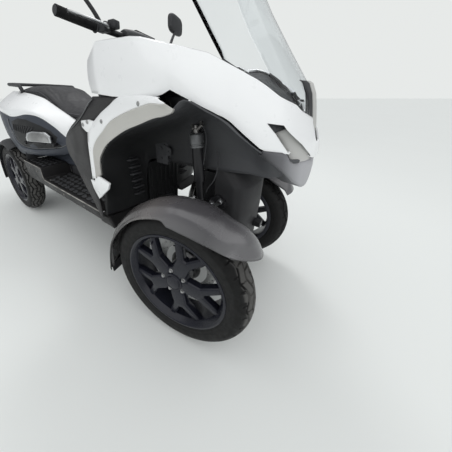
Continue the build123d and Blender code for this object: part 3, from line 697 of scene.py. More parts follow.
class Workshop:
    """Turns bmeshes into pieces that ride on the frame's bodies."""

    def __init__(self, finishes: Finishes) -> None:
        """Keep the finishes and start the count of pieces.

        Args:
            finishes: The scooter's finishes.
        """
        self.finishes = finishes
        self.count = 0

    def piece(self, name: str, bm: BMesh, body: str, material: Material, slot: str,
              replaces: Sequence[str] = (), crease: float = 32, wall: float = 0, bevel: float = 0,
              subdivide: int = 0) -> Object:
        """Make one piece from a bmesh in millimetres.

        Args:
            name: The piece's name.
            bm: Its shape, which is freed.
            body: The CAD body that it rides on.
            material: Its finish.
            slot: The name of a material slot; not used.
            replaces: CAD nodes that it stands for.
            crease: The angle in degrees past which an edge is sharp.
            wall: A thickness given to an open sheet, inwards.
            bevel: A live rounding of its sharp edges.
            subdivide: Levels of subdivision.

        Returns:
            The new object.
        """
        bmesh.ops.scale(bm, vec=(0.001, 0.001, 0.001), verts=bm.verts)
        sharp = math.radians(crease)
        for face in bm.faces:
            face.smooth = True
        for edge in bm.edges:
            edge.smooth = edge.calc_face_angle(0) < sharp
        mesh = bpy.data.meshes.new(name)
        bm.to_mesh(mesh)
        bm.free()
        mesh.materials.append(material)
        piece = bpy.data.objects.new(name, mesh)
        bpy.context.scene.collection.objects.link(piece)
        if subdivide:
            smoother = piece.modifiers.new("subdivide", "SUBSURF")
            smoother.levels = smoother.render_levels = subdivide
        if wall:
            shell = piece.modifiers.new("wall", "SOLIDIFY")
            shell.thickness, shell.offset = wall / 1000, -1
        if bevel:
            edges = piece.modifiers.new("edges", "BEVEL")
            edges.width, edges.segments, edges.limit_method = bevel / 1000, 2, "ANGLE"
            edges.angle_limit = math.radians(35)
        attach(piece, body)
        if replaces:
            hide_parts(*replaces)
        self.count += 1
        log.info("%s rides on %s", name, body)
        return piece

    def dress(self, material: Material, *nodes: str) -> None:
        """Give CAD nodes that stay in view their finish.

        Args:
            material: The finish.
            nodes: The nodes' names.
        """
        for name in nodes:
            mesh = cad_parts[name].data
            mesh.materials.clear()
            mesh.materials.append(material)

    def cut(self, piece: Object, cutter: BMesh) -> None:
        """Cut a closed shape out of a piece, for good.

        Args:
            piece: The piece, whose modifiers are applied too.
            cutter: The closed shape in millimetres, which is freed.
        """
        bmesh.ops.scale(cutter, vec=(0.001, 0.001, 0.001), verts=cutter.verts)
        bmesh.ops.recalc_face_normals(cutter, faces=cutter.faces)
        mesh = bpy.data.meshes.new("cutter")
        cutter.to_mesh(mesh)
        cutter.free()
        tool = bpy.data.objects.new("cutter", mesh)
        bpy.context.scene.collection.objects.link(tool)
        step = piece.modifiers.new("cut", "BOOLEAN")
        step.object, step.operation, step.solver = tool, "DIFFERENCE", "EXACT"
        graph = bpy.context.evaluated_depsgraph_get()
        result = bpy.data.meshes.new_from_object(piece.evaluated_get(graph))
        piece.modifiers.clear()
        piece.data = result
        bpy.data.objects.remove(tool)
        bpy.data.meshes.remove(mesh)


class Assembly:
    """A group of pieces that one workshop makes."""

    def __init__(self, shop: Workshop) -> None:
        """Keep the workshop that makes the pieces."""
        self.shop = shop


@dataclass
class Corner:
    """Where one wheel stands, and its own axes: outward, forward and up."""

    end: str
    side: Side

    @property
    def turns(self) -> bool:
        """Tell whether this corner steers."""
        return self.end == "front"

    @property
    def name(self) -> str:
        """Give the corner's name as the nodes spell it."""
        return f"{self.end}_{self.side.word}"

    @property
    def wheel_body(self) -> str:
        """Give the body of the corner's wheel."""
        return f"wheel_{self.name}"

    @property
    def hub_body(self) -> str:
        """Give the body that carries the wheel."""
        return f"knuckle_{self.side.word}" if self.turns else "chassis"

    def matrix(self) -> Matrix:
        """Give the matrix from the wheel's own axes, on its axle, to the vehicle's."""
        sign = self.side.value
        axes = Matrix(((0, 1, 0, WHEEL_X[self.end]), (sign, 0, 0, sign * HALF_TRACK), (0, 0, 1, AXLE_Z),
                       (0, 0, 0, 1)))
        if not self.turns:
            return axes
        pin = Matrix.Translation((WHEEL_X[self.end], sign * KINGPIN_Y, 0))
        return pin @ Matrix.Rotation(STEER_REST, 4, "Z") @ pin.inverted() @ axes

    def placed(self, bm: BMesh) -> BMesh:
        """Move a bmesh from the wheel's own axes to its place.

        Args:
            bm: The bmesh, with outward along X, forward along Y and up along Z.

        Returns:
            The same bmesh, facing outwards.
        """
        matrix = self.matrix()
        moved(bm, matrix)
        if matrix.determinant() < 0:
            bmesh.ops.reverse_faces(bm, faces=bm.faces)
        return bm


@dataclass
class Tyre:
    """A road tyre with zigzag grooves and slits, wrapped round its crown."""

    corner: Corner
    crown: float = 266
    shoulder: tuple[float, float] = (49, 241)
    pitches: int = 32
    swing: float = 8.0
    groove: float = 6.0
    slit: float = 4.5
    grooves: tuple[float, ...] = (-34, -12, 12, 34)

    def crown_radius(self, u: float) -> float:
        """Give the radius of the tread's arc at a place across it."""
        half, drop = self.shoulder[0], self.crown - self.shoulder[1]
        arc = (half ** 2 + drop ** 2) / (2 * drop)
        return self.crown - arc + math.sqrt(arc ** 2 - u ** 2)

    def across(self) -> list[tuple[float, float, int]]:
        """List the tread's lines: place across, depth, and the land it belongs to or -1."""
        lines = [(-49.0, 0.0, 9), (-43.0, 0.0, 0)]
        for k, mid in enumerate(self.grooves):
            lines += [(mid - 3.6, 0.0, k), (mid - 2.4, self.groove, -1), (mid + 2.4, self.groove, -1),
                      (mid + 3.6, 0.0, k + 1)]
            if k < len(self.grooves) - 1:
                lines.append(((mid + self.grooves[k + 1]) / 2, 0.0, k + 1))
        return [*lines, (43.0, 0.0, 4), (49.0, 0.0, 9)]

    def build(self) -> BMesh:
        """Build the tyre in the wheel's own axes."""
        steps = (0, 0.12, 0.25, 0.33, 0.37, 0.43, 0.47, 0.60, 0.73, 0.83, 0.87, 0.93, 0.97)
        turns = [(k, f) for k in range(self.pitches) for f in steps]
        wall = [(46, 181), (47, 190), (50.5, 196), (51.6, 198), (51.4, 200), (53.4, 206), (54.2, 208),
                (54.2, 210), (55, 216), (54.6, 224), (54.6, 226), (53.4, 231), (52.4, 234), (50.6, 239)]
        rings = []
        for u, r in wall:
            rings.append([(-u, r)] * len(turns))
        for u, depth, land in self.across():
            ring = []
            for k, f in turns:
                wave = math.asin(0.94 * math.sin(math.tau * (k + f) / 2)) / 1.22
                place = u + self.swing * wave * (1 - (u / 49) ** 4)
                cut = depth
                if land >= 0 and land != 9 and f in ((0.37, 0.43) if land % 2 else (0.87, 0.93)):
                    cut = self.slit
                ring.append((place, self.crown_radius(max(-49.0, min(49.0, place))) - cut))
            rings.append(ring)
        for u, r in reversed(wall):
            rings.append([(u, r)] * len(turns))
        angles = [math.tau * (k + f) / self.pitches for k, f in turns]
        rows = [[(u, r * math.cos(a), r * math.sin(a)) for (u, r), a in zip(ring, angles)] for ring in rings]
        return skin([*rows, rows[0]], around=True)

    def mark(self, piece: Object) -> None:
        """Store on the mesh which points lie on the tread's lands, its walls and its grooves, for the painted
        highlight on the lands and the painted shade in the grooves.

        Args:
            piece: The placed tyre.
        """
        land = piece.data.attributes.new("land", "FLOAT", "POINT")
        for vert, item in zip(piece.data.vertices, land.data):
            x, y, z = vert.co * 1000
            across = min(CROWN_HALF, abs(abs(y) - HALF_TRACK))
            reach = math.hypot(x - WHEEL_X[self.corner.end], z - AXLE_Z)
            if across < LAND_HALF and reach > self.crown_radius(across) - LAND_DEPTH:
                item.value = ON_LAND
            else:
                item.value = ON_WALL if reach < WALL_RADIUS else IN_GROOVE


@dataclass
class Rim:
    """A cast rim: barrel with lips, five forked spokes, cap and bolts."""

    corner: Corner
    start: float = -4.0
    count: int = 5
    face: float = 41
    root: float = 15
    bolt_circle: float = 44
    lobe: tuple[tuple[float, float], ...] = ((22, 14), (54, 29), (97, 28), (164, 67), (176, 46), (116, 5))

    def spoke(self, angle: float) -> BMesh:
        """Build one forked spoke with wide bevels, turned to its place."""
        shape = [*self.lobe, *[(a, -b) for a, b in reversed(self.lobe)]]
        step = 5.0
        bm = plate([(self.root, a, b) for a, b in shape], (self.face - step - self.root, 0, 0), 0, 1, 5.5,
                   step)
        bmesh.ops.bevel(bm, geom=bm.edges[:], offset=0.9, segments=2, profile=0.5, affect="EDGES",
                        clamp_overlap=True, material=-1)
        # The arms' ends sink towards the barrel
        for vert in bm.verts:
            far = max(0.0, vert.co.yz.length - 110) / 66
            vert.co.x -= 7 * far
        return moved(bm, Matrix.Rotation(math.radians(angle), 4, "X"))

    def build(self) -> BMesh:
        """Build the rim in the wheel's own axes."""
        barrel = [(49, 181.5), (50.4, 184), (50.4, 187.6), (49.4, 190.4), (47.6, 191.4), (46.6, 188),
                  (46, 184), (30, 180), (-30, 178),
                  (-46, 181.5), (-46.6, 188), (-47.6, 191.4), (-49.4, 191), (-51, 187), (-51, 174),
                  (-40, 171),
                  (-10, 168), (30, 169), (38, 173), (45, 178.5), (49, 181.5)]
        hub = [(-29.5, 15), (-29.5, 44), (8, 50), (14, 57), (34, 57), (37.5, 54), (38, 35), (43, 34),
               (44, 32),
               (44, 29.5), (42.5, 28.5), (42.5, 26), (46.5, 24), (47.6, 20), (47.8, 0.01), (36, 0.01),
               (36, 15),
               (-29.5, 15)]
        parts = [lathe(barrel, 96), lathe(hub, 64)]
        parts += [self.spoke(self.start + 360 * k / self.count) for k in range(self.count)]
        valve = [(20, 0, 0), (30, 0, -9), (46, 0, -16)]
        parts.append(moved(tube([Vector(p) + Vector((0, 0, 170)) for p in valve], 3.2, 10),
                           Matrix.Rotation(math.radians(self.start + 36), 4, "X")))
        return merged(parts)

    def bolts(self) -> BMesh:
        """Build the five wheel bolts in their seats."""
        parts = []
        for k in range(self.count):
            turn = Matrix.Rotation(math.radians(self.start + 36 + 72 * k), 4, "X")
            bolt = merged([knob((34, self.bolt_circle, 0), (38.5, self.bolt_circle, 0), 8, 20, 1),
                           knob((38.5, self.bolt_circle, 0), (43, self.bolt_circle, 0), 5.6, 6, 0.8)])
            parts.append(moved(bolt, turn))
        return merged(parts)


@dataclass
class Brake:
    """A front brake: a drilled disc, and a caliper with its piston caps."""

    corner: Corner
    outer: float = 119.5
    inner: float = 88
    plane: float = -52

    def disc(self) -> BMesh:
        """Build the drilled ring with its carrier."""
        ring = [(self.plane, self.inner), (self.plane, self.outer), (self.plane + 5, self.outer),
                (self.plane + 5, self.inner), (self.plane, self.inner)]
        hub = [(self.plane + 0.6, 20), (self.plane + 0.6, 62), (self.plane + 5.6, 62), (-31, 50), (-31, 20),
               (self.plane + 0.6, 20)]
        parts = [lathe(ring, 96), lathe(hub, 48)]
        arm = [(58, 9), (90, 5), (90, -5), (58, -9)]
        for k in range(8):
            parts.append(moved(plate([(self.plane + 1, a, b) for a, b in arm], (3.4, 0, 0), 0.8, 1),
                               Matrix.Rotation(math.radians(45 * k + 12), 4, "X")))
        return merged(parts)

    def holes(self) -> BMesh:
        """Build the ring's drilled holes as dark countersunk rivets of air."""
        parts = []
        for k in range(36):
            r = (94.5, 104, 113)[k % 3]
            a = math.tau * k / 36
            y, z = r * math.cos(a), r * math.sin(a)
            parts.append(knob((self.plane - 3, y, z), (self.plane + 8, y, z), 3.2, 10, 0.1))
        return merged(parts)

    def caliper(self) -> tuple[BMesh, BMesh]:
        """Build the caliper's body, and its caps and bolts."""
        side_face = [(-14, 88), (-2, 80), (40, 82), (56, 92), (60, 118), (50, 140), (20, 147), (-14, 140),
                     (-22, 112)]
        body = merged([plate([(-41, a, b) for a, b in side_face], (7, 0, 0), 2.2, 2, 5, 2.5),
                       plate([(-59, a, b) for a, b in side_face], (-14, 0, 0), 2.5, 2),
                       crate((-60, -8, 126), (-34, 46, 142), 4)])
        small = []
        for y, z, r in ((4, 104, 14), (36, 104, 14)):
            small.append(knob((-35, y, z), (-29.5, y, z), r, 28, 2))
            small.append(knob((-29.5, y, z), (-27.5, y, z), r * 0.55, 6, 0.8))
        for y, z in ((-12, 122), (20, 134), (52, 122), (20, 90)):
            small.append(knob((-35, y, z), (-28, y, z), 5, 6, 0.8))
        small.append(tube([(-36, 50, 136), (-30, 54, 143), (-26, 56, 152)], 3, 10))
        return body, merged(small)


@dataclass
class Fender:
    """A front fender: crowned, with a skirt outside and a chamfered prow."""

    corner: Corner
    skirt: tuple[tuple[float, float], ...] = (
        (135, 489), (106, 493), (75, 498), (43, 502), (9, 507), (-5, 509), (-19, 522), (-45, 521),
        (-105, 501),
        (-151, 474), (-193, 435), (-231, 386), (-262, 332), (-281, 258), (-286, 196))
    crown: tuple[tuple[float, float], ...] = (
        (163, 539), (136, 553), (105, 564), (74, 570), (36, 573), (12, 571), (-4, 570), (-32, 564),
        (-80, 549),
        (-124, 526), (-176, 492), (-222, 446), (-262, 392), (-290, 316), (-297, 214))

    def rows(self) -> list[list[Vector]]:
        """Give the fender's cross sections, from its front edge to its rear, in the wheel's axes."""
        def at(u: float, s: float, z: float) -> Vector:
            """Bring a point to the wheel's axes."""
            return Vector((u, s, z - AXLE_Z))

        rows = [[at(-61, 240, 438), at(-50, 250, 444), at(-33, 257, 450), at(0, 258, 456), at(26, 243, 463),
                 at(44, 221, 469), at(56, 203, 474), at(61.5, 193, 475), at(62.5, 191, 476)],
                [at(-61, 226, 458), at(-48, 235, 474), at(-30, 240, 484), at(0, 239, 489), at(24, 229, 490),
                 at(41, 211, 489), at(54, 195, 485), at(61.5, 180, 480), at(62.5, 178, 479)],
                [at(-61, 208, 468), at(-48, 220, 488), at(-30, 226, 500), at(0, 226, 506), at(22, 220, 507),
                 at(38, 206, 504), at(52, 186, 496), at(61.5, 166, 486), at(62.5, 164, 482)],
                [at(-62, 186, 480), at(-48, 198, 504), at(-30, 203, 516), at(0, 204, 522), at(22, 201, 522),
                 at(40, 191, 518), at(54, 173, 509), at(62, 151, 493), at(63, 150, 485)]]
        for (ss, sz), (cs, cz) in zip(self.skirt, self.crown):
            top = Vector((0, cs, cz - AXLE_Z))
            down = -top.normalized()
            low = Vector((0, ss, sz - AXLE_Z))
            band = low + (top - low).normalized() * 9
            rows.append([Vector((-62, 0, 0)) + top + down * 40, Vector((-48, 0, 0)) + top + down * 18,
                         Vector((-30, 0, 0)) + top + down * 7, Vector((0, 0, 0)) + top,
                         Vector((28, 0, 0)) + top + down * 4, Vector((46, 0, 0)) + top + down * 11,
                         Vector((56, 0, 0)) + top + down * 22, Vector((63.5, 0, 0)) + band,
                         Vector((64, 0, 0)) + low])
        return rows

    def build(self) -> BMesh:
        """Build the fender's sheet in the wheel's own axes."""
        rows = self.rows()
        fine = [smooth_line(row[:7], 3) + row[7:] for row in rows]
        columns = [smooth_line([row[k] for row in fine], 3) for k in range(len(fine[0]))]
        return skin([[column[k] for column in columns] for k in range(len(columns[0]))])

    def bead(self) -> BMesh:
        """Build the fine double line along the fender's outer lower edge."""
        lines = []
        for lift, thick in ((1.5, 1.5), (11.5, 1.1)):
            line = []
            for (ss, sz), (cs, cz) in list(zip(self.skirt, self.crown))[:-1]:
                low, top = Vector((0, ss, sz - AXLE_Z)), Vector((0, cs, cz - AXLE_Z))
                line.append(low + (top - low).normalized() * lift + Vector((64.5 if lift < 9 else 64, 0, 0)))
            lines.append(tube(smooth_line(line, 3), thick, 6))
        return merged(lines)

    def flap(self) -> BMesh:
        """Build the black mud flap below the fender's rear edge."""
        line = [(-297, 216), (-298, 196), (-294, 172)]
        rows = [[Vector((u, s, z - AXLE_Z)) for u in (-56, -30, 0, 30, 52)] for s, z in line]
        bm = skin(rows)
        bmesh.ops.solidify(bm, geom=bm.faces[:], thickness=3)
        return bm


@dataclass
class Mudguard:
    """A rear mudguard: a round crown with a short skirt outside."""

    corner: Corner
    crown: float = 300
    first: float = 62
    last: float = 192

    def build(self) -> BMesh:
        """Build the guard's sheet in the wheel's own axes."""
        shape = [(-62, 283), (-50, 291), (-28, 297.5), (-6, 300), (20, 298.5), (42, 292.5), (55, 284),
                 (61, 274),
                 (62.5, 268), (63, 266)]
        rows = []
        for k in range(40):
            a = math.radians(self.first + (self.last - self.first) * k / 39)
            rows.append([(u, r * math.cos(a), r * math.sin(a)) for u, r in shape])
        return skin(rows)


class RunningGear(Assembly):
    """The four wheels with their tyres, brakes and fenders."""

    def build(self) -> None:
        """Make every corner."""
        for end in WHEEL_X:
            for side in Side:
                self.corner(Corner(end, side))

    def corner(self, corner: Corner) -> None:
        """Make one corner's pieces.

        Args:
            corner: The corner.
        """
        shop, name, wheel = self.shop, corner.name, corner.wheel_body
        tyre = Tyre(corner)
        tread = shop.piece(f"{name}_tyre_tread", corner.placed(tyre.build()), wheel, shop.finishes.tyre,
                           "tyre",
                   [f"{name}_tyre"], 40)
        tyre.mark(tread)
        rim = Rim(corner)
        shop.piece(f"{name}_wheel_cast", corner.placed(rim.build()), wheel, shop.finishes.cast, "cast_wheel",
                   [f"{name}_rim"], 24)
        shop.piece(f"{name}_wheel_bolts", corner.placed(rim.bolts()), wheel, shop.finishes.brushed,
                   "brake_steel")
        if corner.turns:
            self.front(corner)

    def front(self, corner: Corner) -> None:
        """Make a front corner's brake and fender.

        Args:
            corner: The corner.
        """
        shop, name = self.shop, corner.name
        brake = Brake(corner)
        disc = shop.piece(f"{name}_brake_disc", corner.placed(brake.disc()), corner.wheel_body,
                          shop.finishes.brushed, "brake_steel", [f"{name}_disc"], 30)
        shop.cut(disc, corner.placed(brake.holes()))
        body, small = brake.caliper()
        shop.piece(f"{name}_caliper_body", corner.placed(body), corner.hub_body, shop.finishes.steel,
                   "black_steel", [], 30)
        shop.piece(f"{name}_caliper_caps", corner.placed(small), corner.hub_body, shop.finishes.brushed,
                   "brake_steel", [], 30)
        fender = Fender(corner)
        shop.piece(f"{name}_fender_shell", corner.placed(fender.build()), corner.hub_body,
                   shop.finishes.guard,
                   "grey_plastic", [f"{name}_fender"], 50, 3.5)
        shop.piece(f"{name}_fender_bead", corner.placed(fender.bead()), corner.hub_body, shop.finishes.liner,
                   "grey_plastic", [], 50)
        shop.piece(f"{name}_mud_flap", corner.placed(fender.flap()), corner.hub_body, shop.finishes.liner,
                   "black_plastic", [], 30)


def between(table: Points, at: float) -> float:
    """Read a table of (place, value), sorted by place, at one place."""
    if at <= table[0][0]:
        return table[0][1]
    for (a, low), (b, high) in zip(table, table[1:]):
        if at <= b:
            return low + (high - low) * (at - a) / max(b - a, 1e-9)
    return table[-1][1]


@dataclass(frozen=True)
class NoseShape:
    """The nose's outer surface: a plan outline low and high, cut to the side outline."""

    low: Points = ((1104, 0), (1096, 50), (1079, 100), (1055, 150), (1006, 200), (958, 240), (910, 280),
                   (820, 312),
                   (700, 332), (500, 335))
    high: Points = ((1008, 0), (998, 48), (981, 94), (954, 136), (904, 184), (858, 220), (815, 254),
                    (770, 290),
                    (680, 320), (500, 325))
    low_z: float = 700
    high_z: float = 1020
    under: Points = ((500, 874), (618, 863), (762, 863), (792, 880), (830, 861), (879, 835), (919, 813),
                     (953, 780),
                     (1001, 737), (1051, 728), (1084, 718), (1092, 706), (1110, 704))
    over: Points = ((500, 960), (540, 1000), (700, 992), (860, 952), (965, 892), (1008, 857), (1035, 841),
                    (1047, 826), (1070, 806), (1086, 778), (1110, 752))

    def stations(self) -> list[tuple[Vector, Vector]]:
        """Pair the plan's points low and high along the left half, from the front."""
        lows = smooth_line([(x, y, self.low_z) for x, y in self.low], 4)
        highs = smooth_line([(x, y, self.high_z) for x, y in self.high], 4)
        return list(zip(lows, highs))

    def ends(self, low: Vector, high: Vector) -> tuple[float, float]:
        """Find where a station's line enters and leaves the side outline, from 0 to 1."""
        found = []
        for table in (self.under, self.over):
            fits = [k / 400 for k in range(-40, 480) if (low.lerp(high, k / 400)).z
                    >= between(table, low.lerp(high, k / 400).x)]
            found.append(fits[0] if fits else 1.0)
        return found[0], found[1]

    def front_x(self, y: float, z: float) -> float:
        """Give how far forward the surface lies at a width and height."""
        t = (z - self.low_z) / (self.high_z - self.low_z)
        plan = [a.lerp(b, t) for a, b in self.stations()]
        return between([(p.y, p.x) for p in plan], abs(y))

    def side_y(self, x: float, z: float) -> float:
        """Give how far out the surface lies at a place along and a height."""
        t = (z - self.low_z) / (self.high_z - self.low_z)
        plan = [a.lerp(b, t) for a, b in self.stations()]
        return between([(-p.x, p.y) for p in plan], -x)

    def column(self, low: Vector, high: Vector, steps: int, crown: float = 5) -> list[Vector]:
        """Give one station's points from the lower edge to the upper one, slightly crowned."""
        start, end = self.ends(low, high)
        out = Vector((low.x - 560, low.y * 1.5, 0)).normalized()
        return [low.lerp(high, start + (end - start) * k / steps)
                + out * crown * math.sin(math.pi * k / steps)
                for k in range(steps + 1)]


@dataclass
class Nose:
    """The white nose with its side scoops, lamps, deck and windscreen."""

    shape: NoseShape = field(default_factory=NoseShape)
    lamp_y: tuple[float, float] = (3, 34)
    lamp_z: tuple[float, float] = (744, 802)
    # The scoop's rows: height and place of its rear edge, then of its front edge
    scoop: Points = ((775, 1009, 791, 1035), (768, 1014, 782, 1041), (756, 1024, 767, 1053),
                     (742, 1033, 752, 1065),
                     (729, 1041, 737, 1076), (716, 1048, 722, 1085), (706, 1056, 707, 1089),
                     (700, 1062, 698, 1086))

    def shell(self) -> BMesh:
        """Build the outer skin with a rolled upper lip and a turned-in lower edge."""
        rows = []
        for low, high in self.shape.stations():
            line = self.shape.column(low, high, 14)
            inward = Vector((560 - low.x, -low.y * 1.5, 0)).normalized()
            first = line[0] + inward * 9 + Vector((0, 0, 4))
            last = [line[-1] + inward * 5 + Vector((0, 0, 2)), line[-1] + inward * 14 - Vector((0, 0, 1))]
            rows.append([first, *line, *last])
        return skin([[Vector((p.x, -p.y, p.z)) for p in row] for row in reversed(rows[1:])] + rows)

    def deck(self) -> BMesh:
        """Build the dark deck between the shell's upper edges."""
        rows = []
        for low, high in self.shape.stations():
            edge = self.shape.column(low, high, 2)[-1]
            rows.append([Vector((edge.x - 12, edge.y * 0.985 * s, edge.z - 5 - 22 * (1 - s * s)))
                         for s in (-1, -0.8, -0.5, -0.2, 0, 0.2, 0.5, 0.8, 1)])
        return skin(rows)

    def holes(self) -> BMesh:
        """Build the shapes cut out of the shell for the lamps and the scoops."""
        lamp = plate([(1000, y, z) for y, z in ((4, 748), (10, 745), (28, 746), (34, 756), (32, 792),
                                                (26, 800),
                                                (8, 801), (4, 796))], (140, 0, 0))
        outline = [(995, 803), (1017, 776), (1052, 724), (1060, 700), (1100, 700), (1091, 712), (1084, 724),
                   (1070, 746), (1051, 769), (1036, 786), (1028, 797)]
        side = plate([(x, 62, z) for x, z in outline], (0, 160, 0))
        return merged([both(lamp), both(side)])

    def scoop_floor(self) -> BMesh:
        """Build the left scoop's floor, white in painted shade, deep behind and flush in front, with a lip
        below.
        """
        rows = []
        for low, back, high, front in self.scoop:
            sink = 24 if low > 710 else 8
            deep = Vector((back, self.shape.side_y(back, max(low, 718)) - sink, low))
            flush = Vector((front, self.shape.side_y(front, max(high, 718)) - 3.0, high))
            rows.append([deep, deep.lerp(flush, 0.33) + Vector((1, 2, 0)), deep.lerp(flush, 0.66)
                         + Vector((2, 3, 0)), flush, flush + Vector((3, -5, 1))])
        return skin([*rows, [p + Vector((-14, -10, -1)) for p in rows[-1]]])

    def patch(self, points: Points, sink: Point, bulge: float = 0) -> BMesh:
        """Fill a loop of points as a soft panel, sunk from where it is given."""
        centre = sum((Vector(p) for p in points), Vector()) / len(points)
        rings = []
        for grow in (1.12, 1.0, 0.7, 0.35, 0.02):
            rings.append([centre + (Vector(p) - centre) * grow + Vector(sink) * (1 + bulge * (1 - grow))
                          for p in points])
        return skin(rings, around=True)

    def lens(self, back: float, inset: float) -> BMesh:
        """Build one lamp's sheet on the nose's surface, set back by a distance."""
        rows = []
        for k in range(9):
            y = self.lamp_y[0] + inset + (self.lamp_y[1] - self.lamp_y[0] - 2 * inset) * k / 8
            rows.append([Vector((self.shape.front_x(y, z) - back, y, z))
                         for z in (self.lamp_z[0] + inset + (58 - 2 * inset) * j / 6 for j in range(7))])
        return skin(rows)

    def reflector(self) -> tuple[BMesh, BMesh]:
        """Build one lamp's ribbed bowls and its bezel."""
        bowls, rims = [], []
        for y, z, r in ((18, 786, 12), (19, 760, 12.5)):
            front = self.shape.front_x(y, z) - 9
            bowl = [(-34, 0.01), (-33, r * 0.35), (-26, r * 0.66), (-14, r * 0.88), (0, r)]
            bowls.append(moved(lathe(bowl, 28), Matrix.Translation((front, y, z))))
            bowls.append(knob((front - 34, y, z), (front - 14, y, z), 4.5, 12, 2))
            ring = [(-2, r), (1.5, r + 0.6), (2.5, r + 3), (0, r + 4.5), (-2, r + 4), (-2, r)]
            rims.append(moved(lathe(ring, 28), Matrix.Translation((front, y, z))))
        return merged(bowls), merged(rims)

    def screen(self) -> tuple[BMesh, BMesh]:
        """Build the clear screen and its dark border strip."""
        half = ((700, 208), (1120, 208), (1180, 202), (1240, 188), (1280, 166), (1312, 130), (1328, 98),
                (1337, 60))
        rows, frames = [], []
        for k in range(27):
            s = -1 + 2 * k / 26
            row = []
            for j in range(25):
                z = 780 + (1337 - 780) * j / 24
                y = s * min(200, between(half, z) - 1)
                foot = 1084 - 127 * (y / 200) ** 2 * (0.93 + 0.07 * abs(y / 200))
                belly = between(((780, -6), (858, 19), (900, 20), (980, 10), (1080, 0)), z)
                x = foot - (z - 790) * math.tan(math.radians(30)) + belly
                row.append(Vector((x - 8, y, z)))
            rows.append(row)
        for k, row in enumerate(rows):
            kept = [p for p in row if p.z >= between(self.shape.over, p.x) - 14]
            rows[k] = [kept[0]] * (25 - len(kept)) + kept
        for row in (rows[0], rows[-1]):
            frames.append(tube(row, 4.2, 8))
        frames.append(tube([row[-1] for row in rows], 3.2, 8))
        frames.append(tube([row[0] for row in rows], 5.0, 8))
        return skin(rows), merged(frames)

    def build(self, shop: Workshop) -> None:
        """Make the nose's pieces."""
        finish = shop.finishes
        shell = shop.piece("nose_shell", self.shell(), "chassis", finish.white, "white_paint",
                           ["nose_fairing"], 48,
                           3.0)
        shop.cut(shell, self.holes())
        shop.piece("nose_deck", self.deck(), "chassis", finish.cowl, "black_plastic", [], 50, 3.0)
        # The scoop floors are white with painted shade
        shop.piece("scoop_panels", both(self.scoop_floor()), "chassis", finish.shade_white, "white_paint", [],
                   40,
                   1.5)
        # A dark patch stands for the painted shade inside the vent's deep hole
        vent = self.patch([(993, -166, 803), (1013, -155, 778), (1040, -135, 783), (1028, -139, 794)],
                          (-6, 8, -1))
        shop.piece("scoop_vents", both(vent), "chassis", finish.liner, "black_plastic", [], 40, 2)
        slot = plate([(1052, 144, 714), (1063, 130, 709), (1074, 110, 707), (1073, 110, 698),
                      (1061, 129, 699),
                      (1050, 142, 706)], (-10, -12, 0), 1.5)
        shop.piece("scoop_slots", both(slot), "chassis", finish.liner, "black_plastic", [], 40)
        shop.piece("lamp_lenses", both(self.lens(1.5, 1.0)), "chassis", finish.lens, "clear_lens",
                   ["headlamps"], 60,
                   2)
        bowl, rim = self.reflector()
        shop.piece("lamp_reflectors", both(bowl), "chassis", finish.bright, "satin_alloy", [], 40, 1)
        shop.piece("lamp_rims", both(rim), "chassis", finish.alloy, "satin_alloy", [], 40)
        back = crate((1020, 4, 738), (1034, 40, 806), 3)
        shop.piece("lamp_backs", both(back), "chassis", finish.collar, "satin_alloy")
        garnish = []
        for wide, out in ((44, 0), (24, 5)):
            rows = []
            for z, x in ((770, 1078), (784, 1078), (810, 1073), (840, 1067), (870, 1060), (896, 1048),
                         (902, 1040)):
                curve = [(-1, -9), (-0.92, 0), (-0.5, 3), (0, 4), (0.5, 3), (0.92, 0), (1, -9)]
                rows.append([Vector((x + out - 4 + d - 0.9 * (wide * u) ** 2 / 442, wide * u, z)) for u,
                             d in curve])
            garnish.append(skin(rows))
        shop.piece("screen_mount", garnish[0], "chassis", finish.cowl, "dark_plastic", [], 50, 2)
        # The garnish is white with painted shade
        shop.piece("screen_garnish", garnish[1], "chassis", finish.shade_white, "white_paint", [], 50, 2)
        sheet, border = self.screen()
        shop.piece("screen_sheet", sheet, "chassis", finish.screen, "screen", ["windscreen"], 60, 3.5)
        shop.piece("screen_border", border, "chassis", finish.cowl, "dark_plastic", [], 50)


@dataclass
class Chin:
    """The grey chin below the nose, a shallow keel from side to side."""

    shape: NoseShape = field(default_factory=NoseShape)
    keel: Points = ((0, 596), (30, 600), (60, 616), (100, 638), (150, 678), (205, 731))
    dip: Points = ((1053, 0), (1062, 20), (1082, 22), (1092, 4))

    def build(self, shop: Workshop) -> None:
        """Make the chin."""
        rows = []
        for low, _ in self.shape.stations():
            if low.y > 203 or low.x < 1003:
                continue
            top = between(self.shape.under, low.x) + 3 - between(self.dip, low.x)
            base = min(between(self.keel, low.y), top - 6)
            drop = top - base
            out = Vector((low.x - 700, low.y * 1.2, 0)).normalized()
            edge = Vector((low.x - 10 + 3 * low.y / 200, low.y, top))
            rows.append([edge, edge + out * 3 - Vector((0, 0, drop * 0.3)),
                         edge + out * 2 - Vector((0, 0, drop * 0.6)),
                         edge - out * 2 - Vector((0, 0, drop * 0.9)),
                         edge - out * 6 - Vector((0, 0, drop * 0.97)), edge - out * 12 - Vector((0, 0, drop)),
                         Vector((low.x - (low.x - 1003) * 0.72, low.y * 0.8, base + 3)),
                         Vector((1003, low.y * 0.75, base + 12))])
        half = [row[:1] + smooth_line(row[1:], 3) for row in rows]
        other = [[Vector((p.x, -p.y, p.z)) for p in row] for row in reversed(half[1:])]
        shop.piece("chin_shell", skin(other + half), "chassis", shop.finishes.chin, "grey_plastic", ["chin"],
                   45, 3)


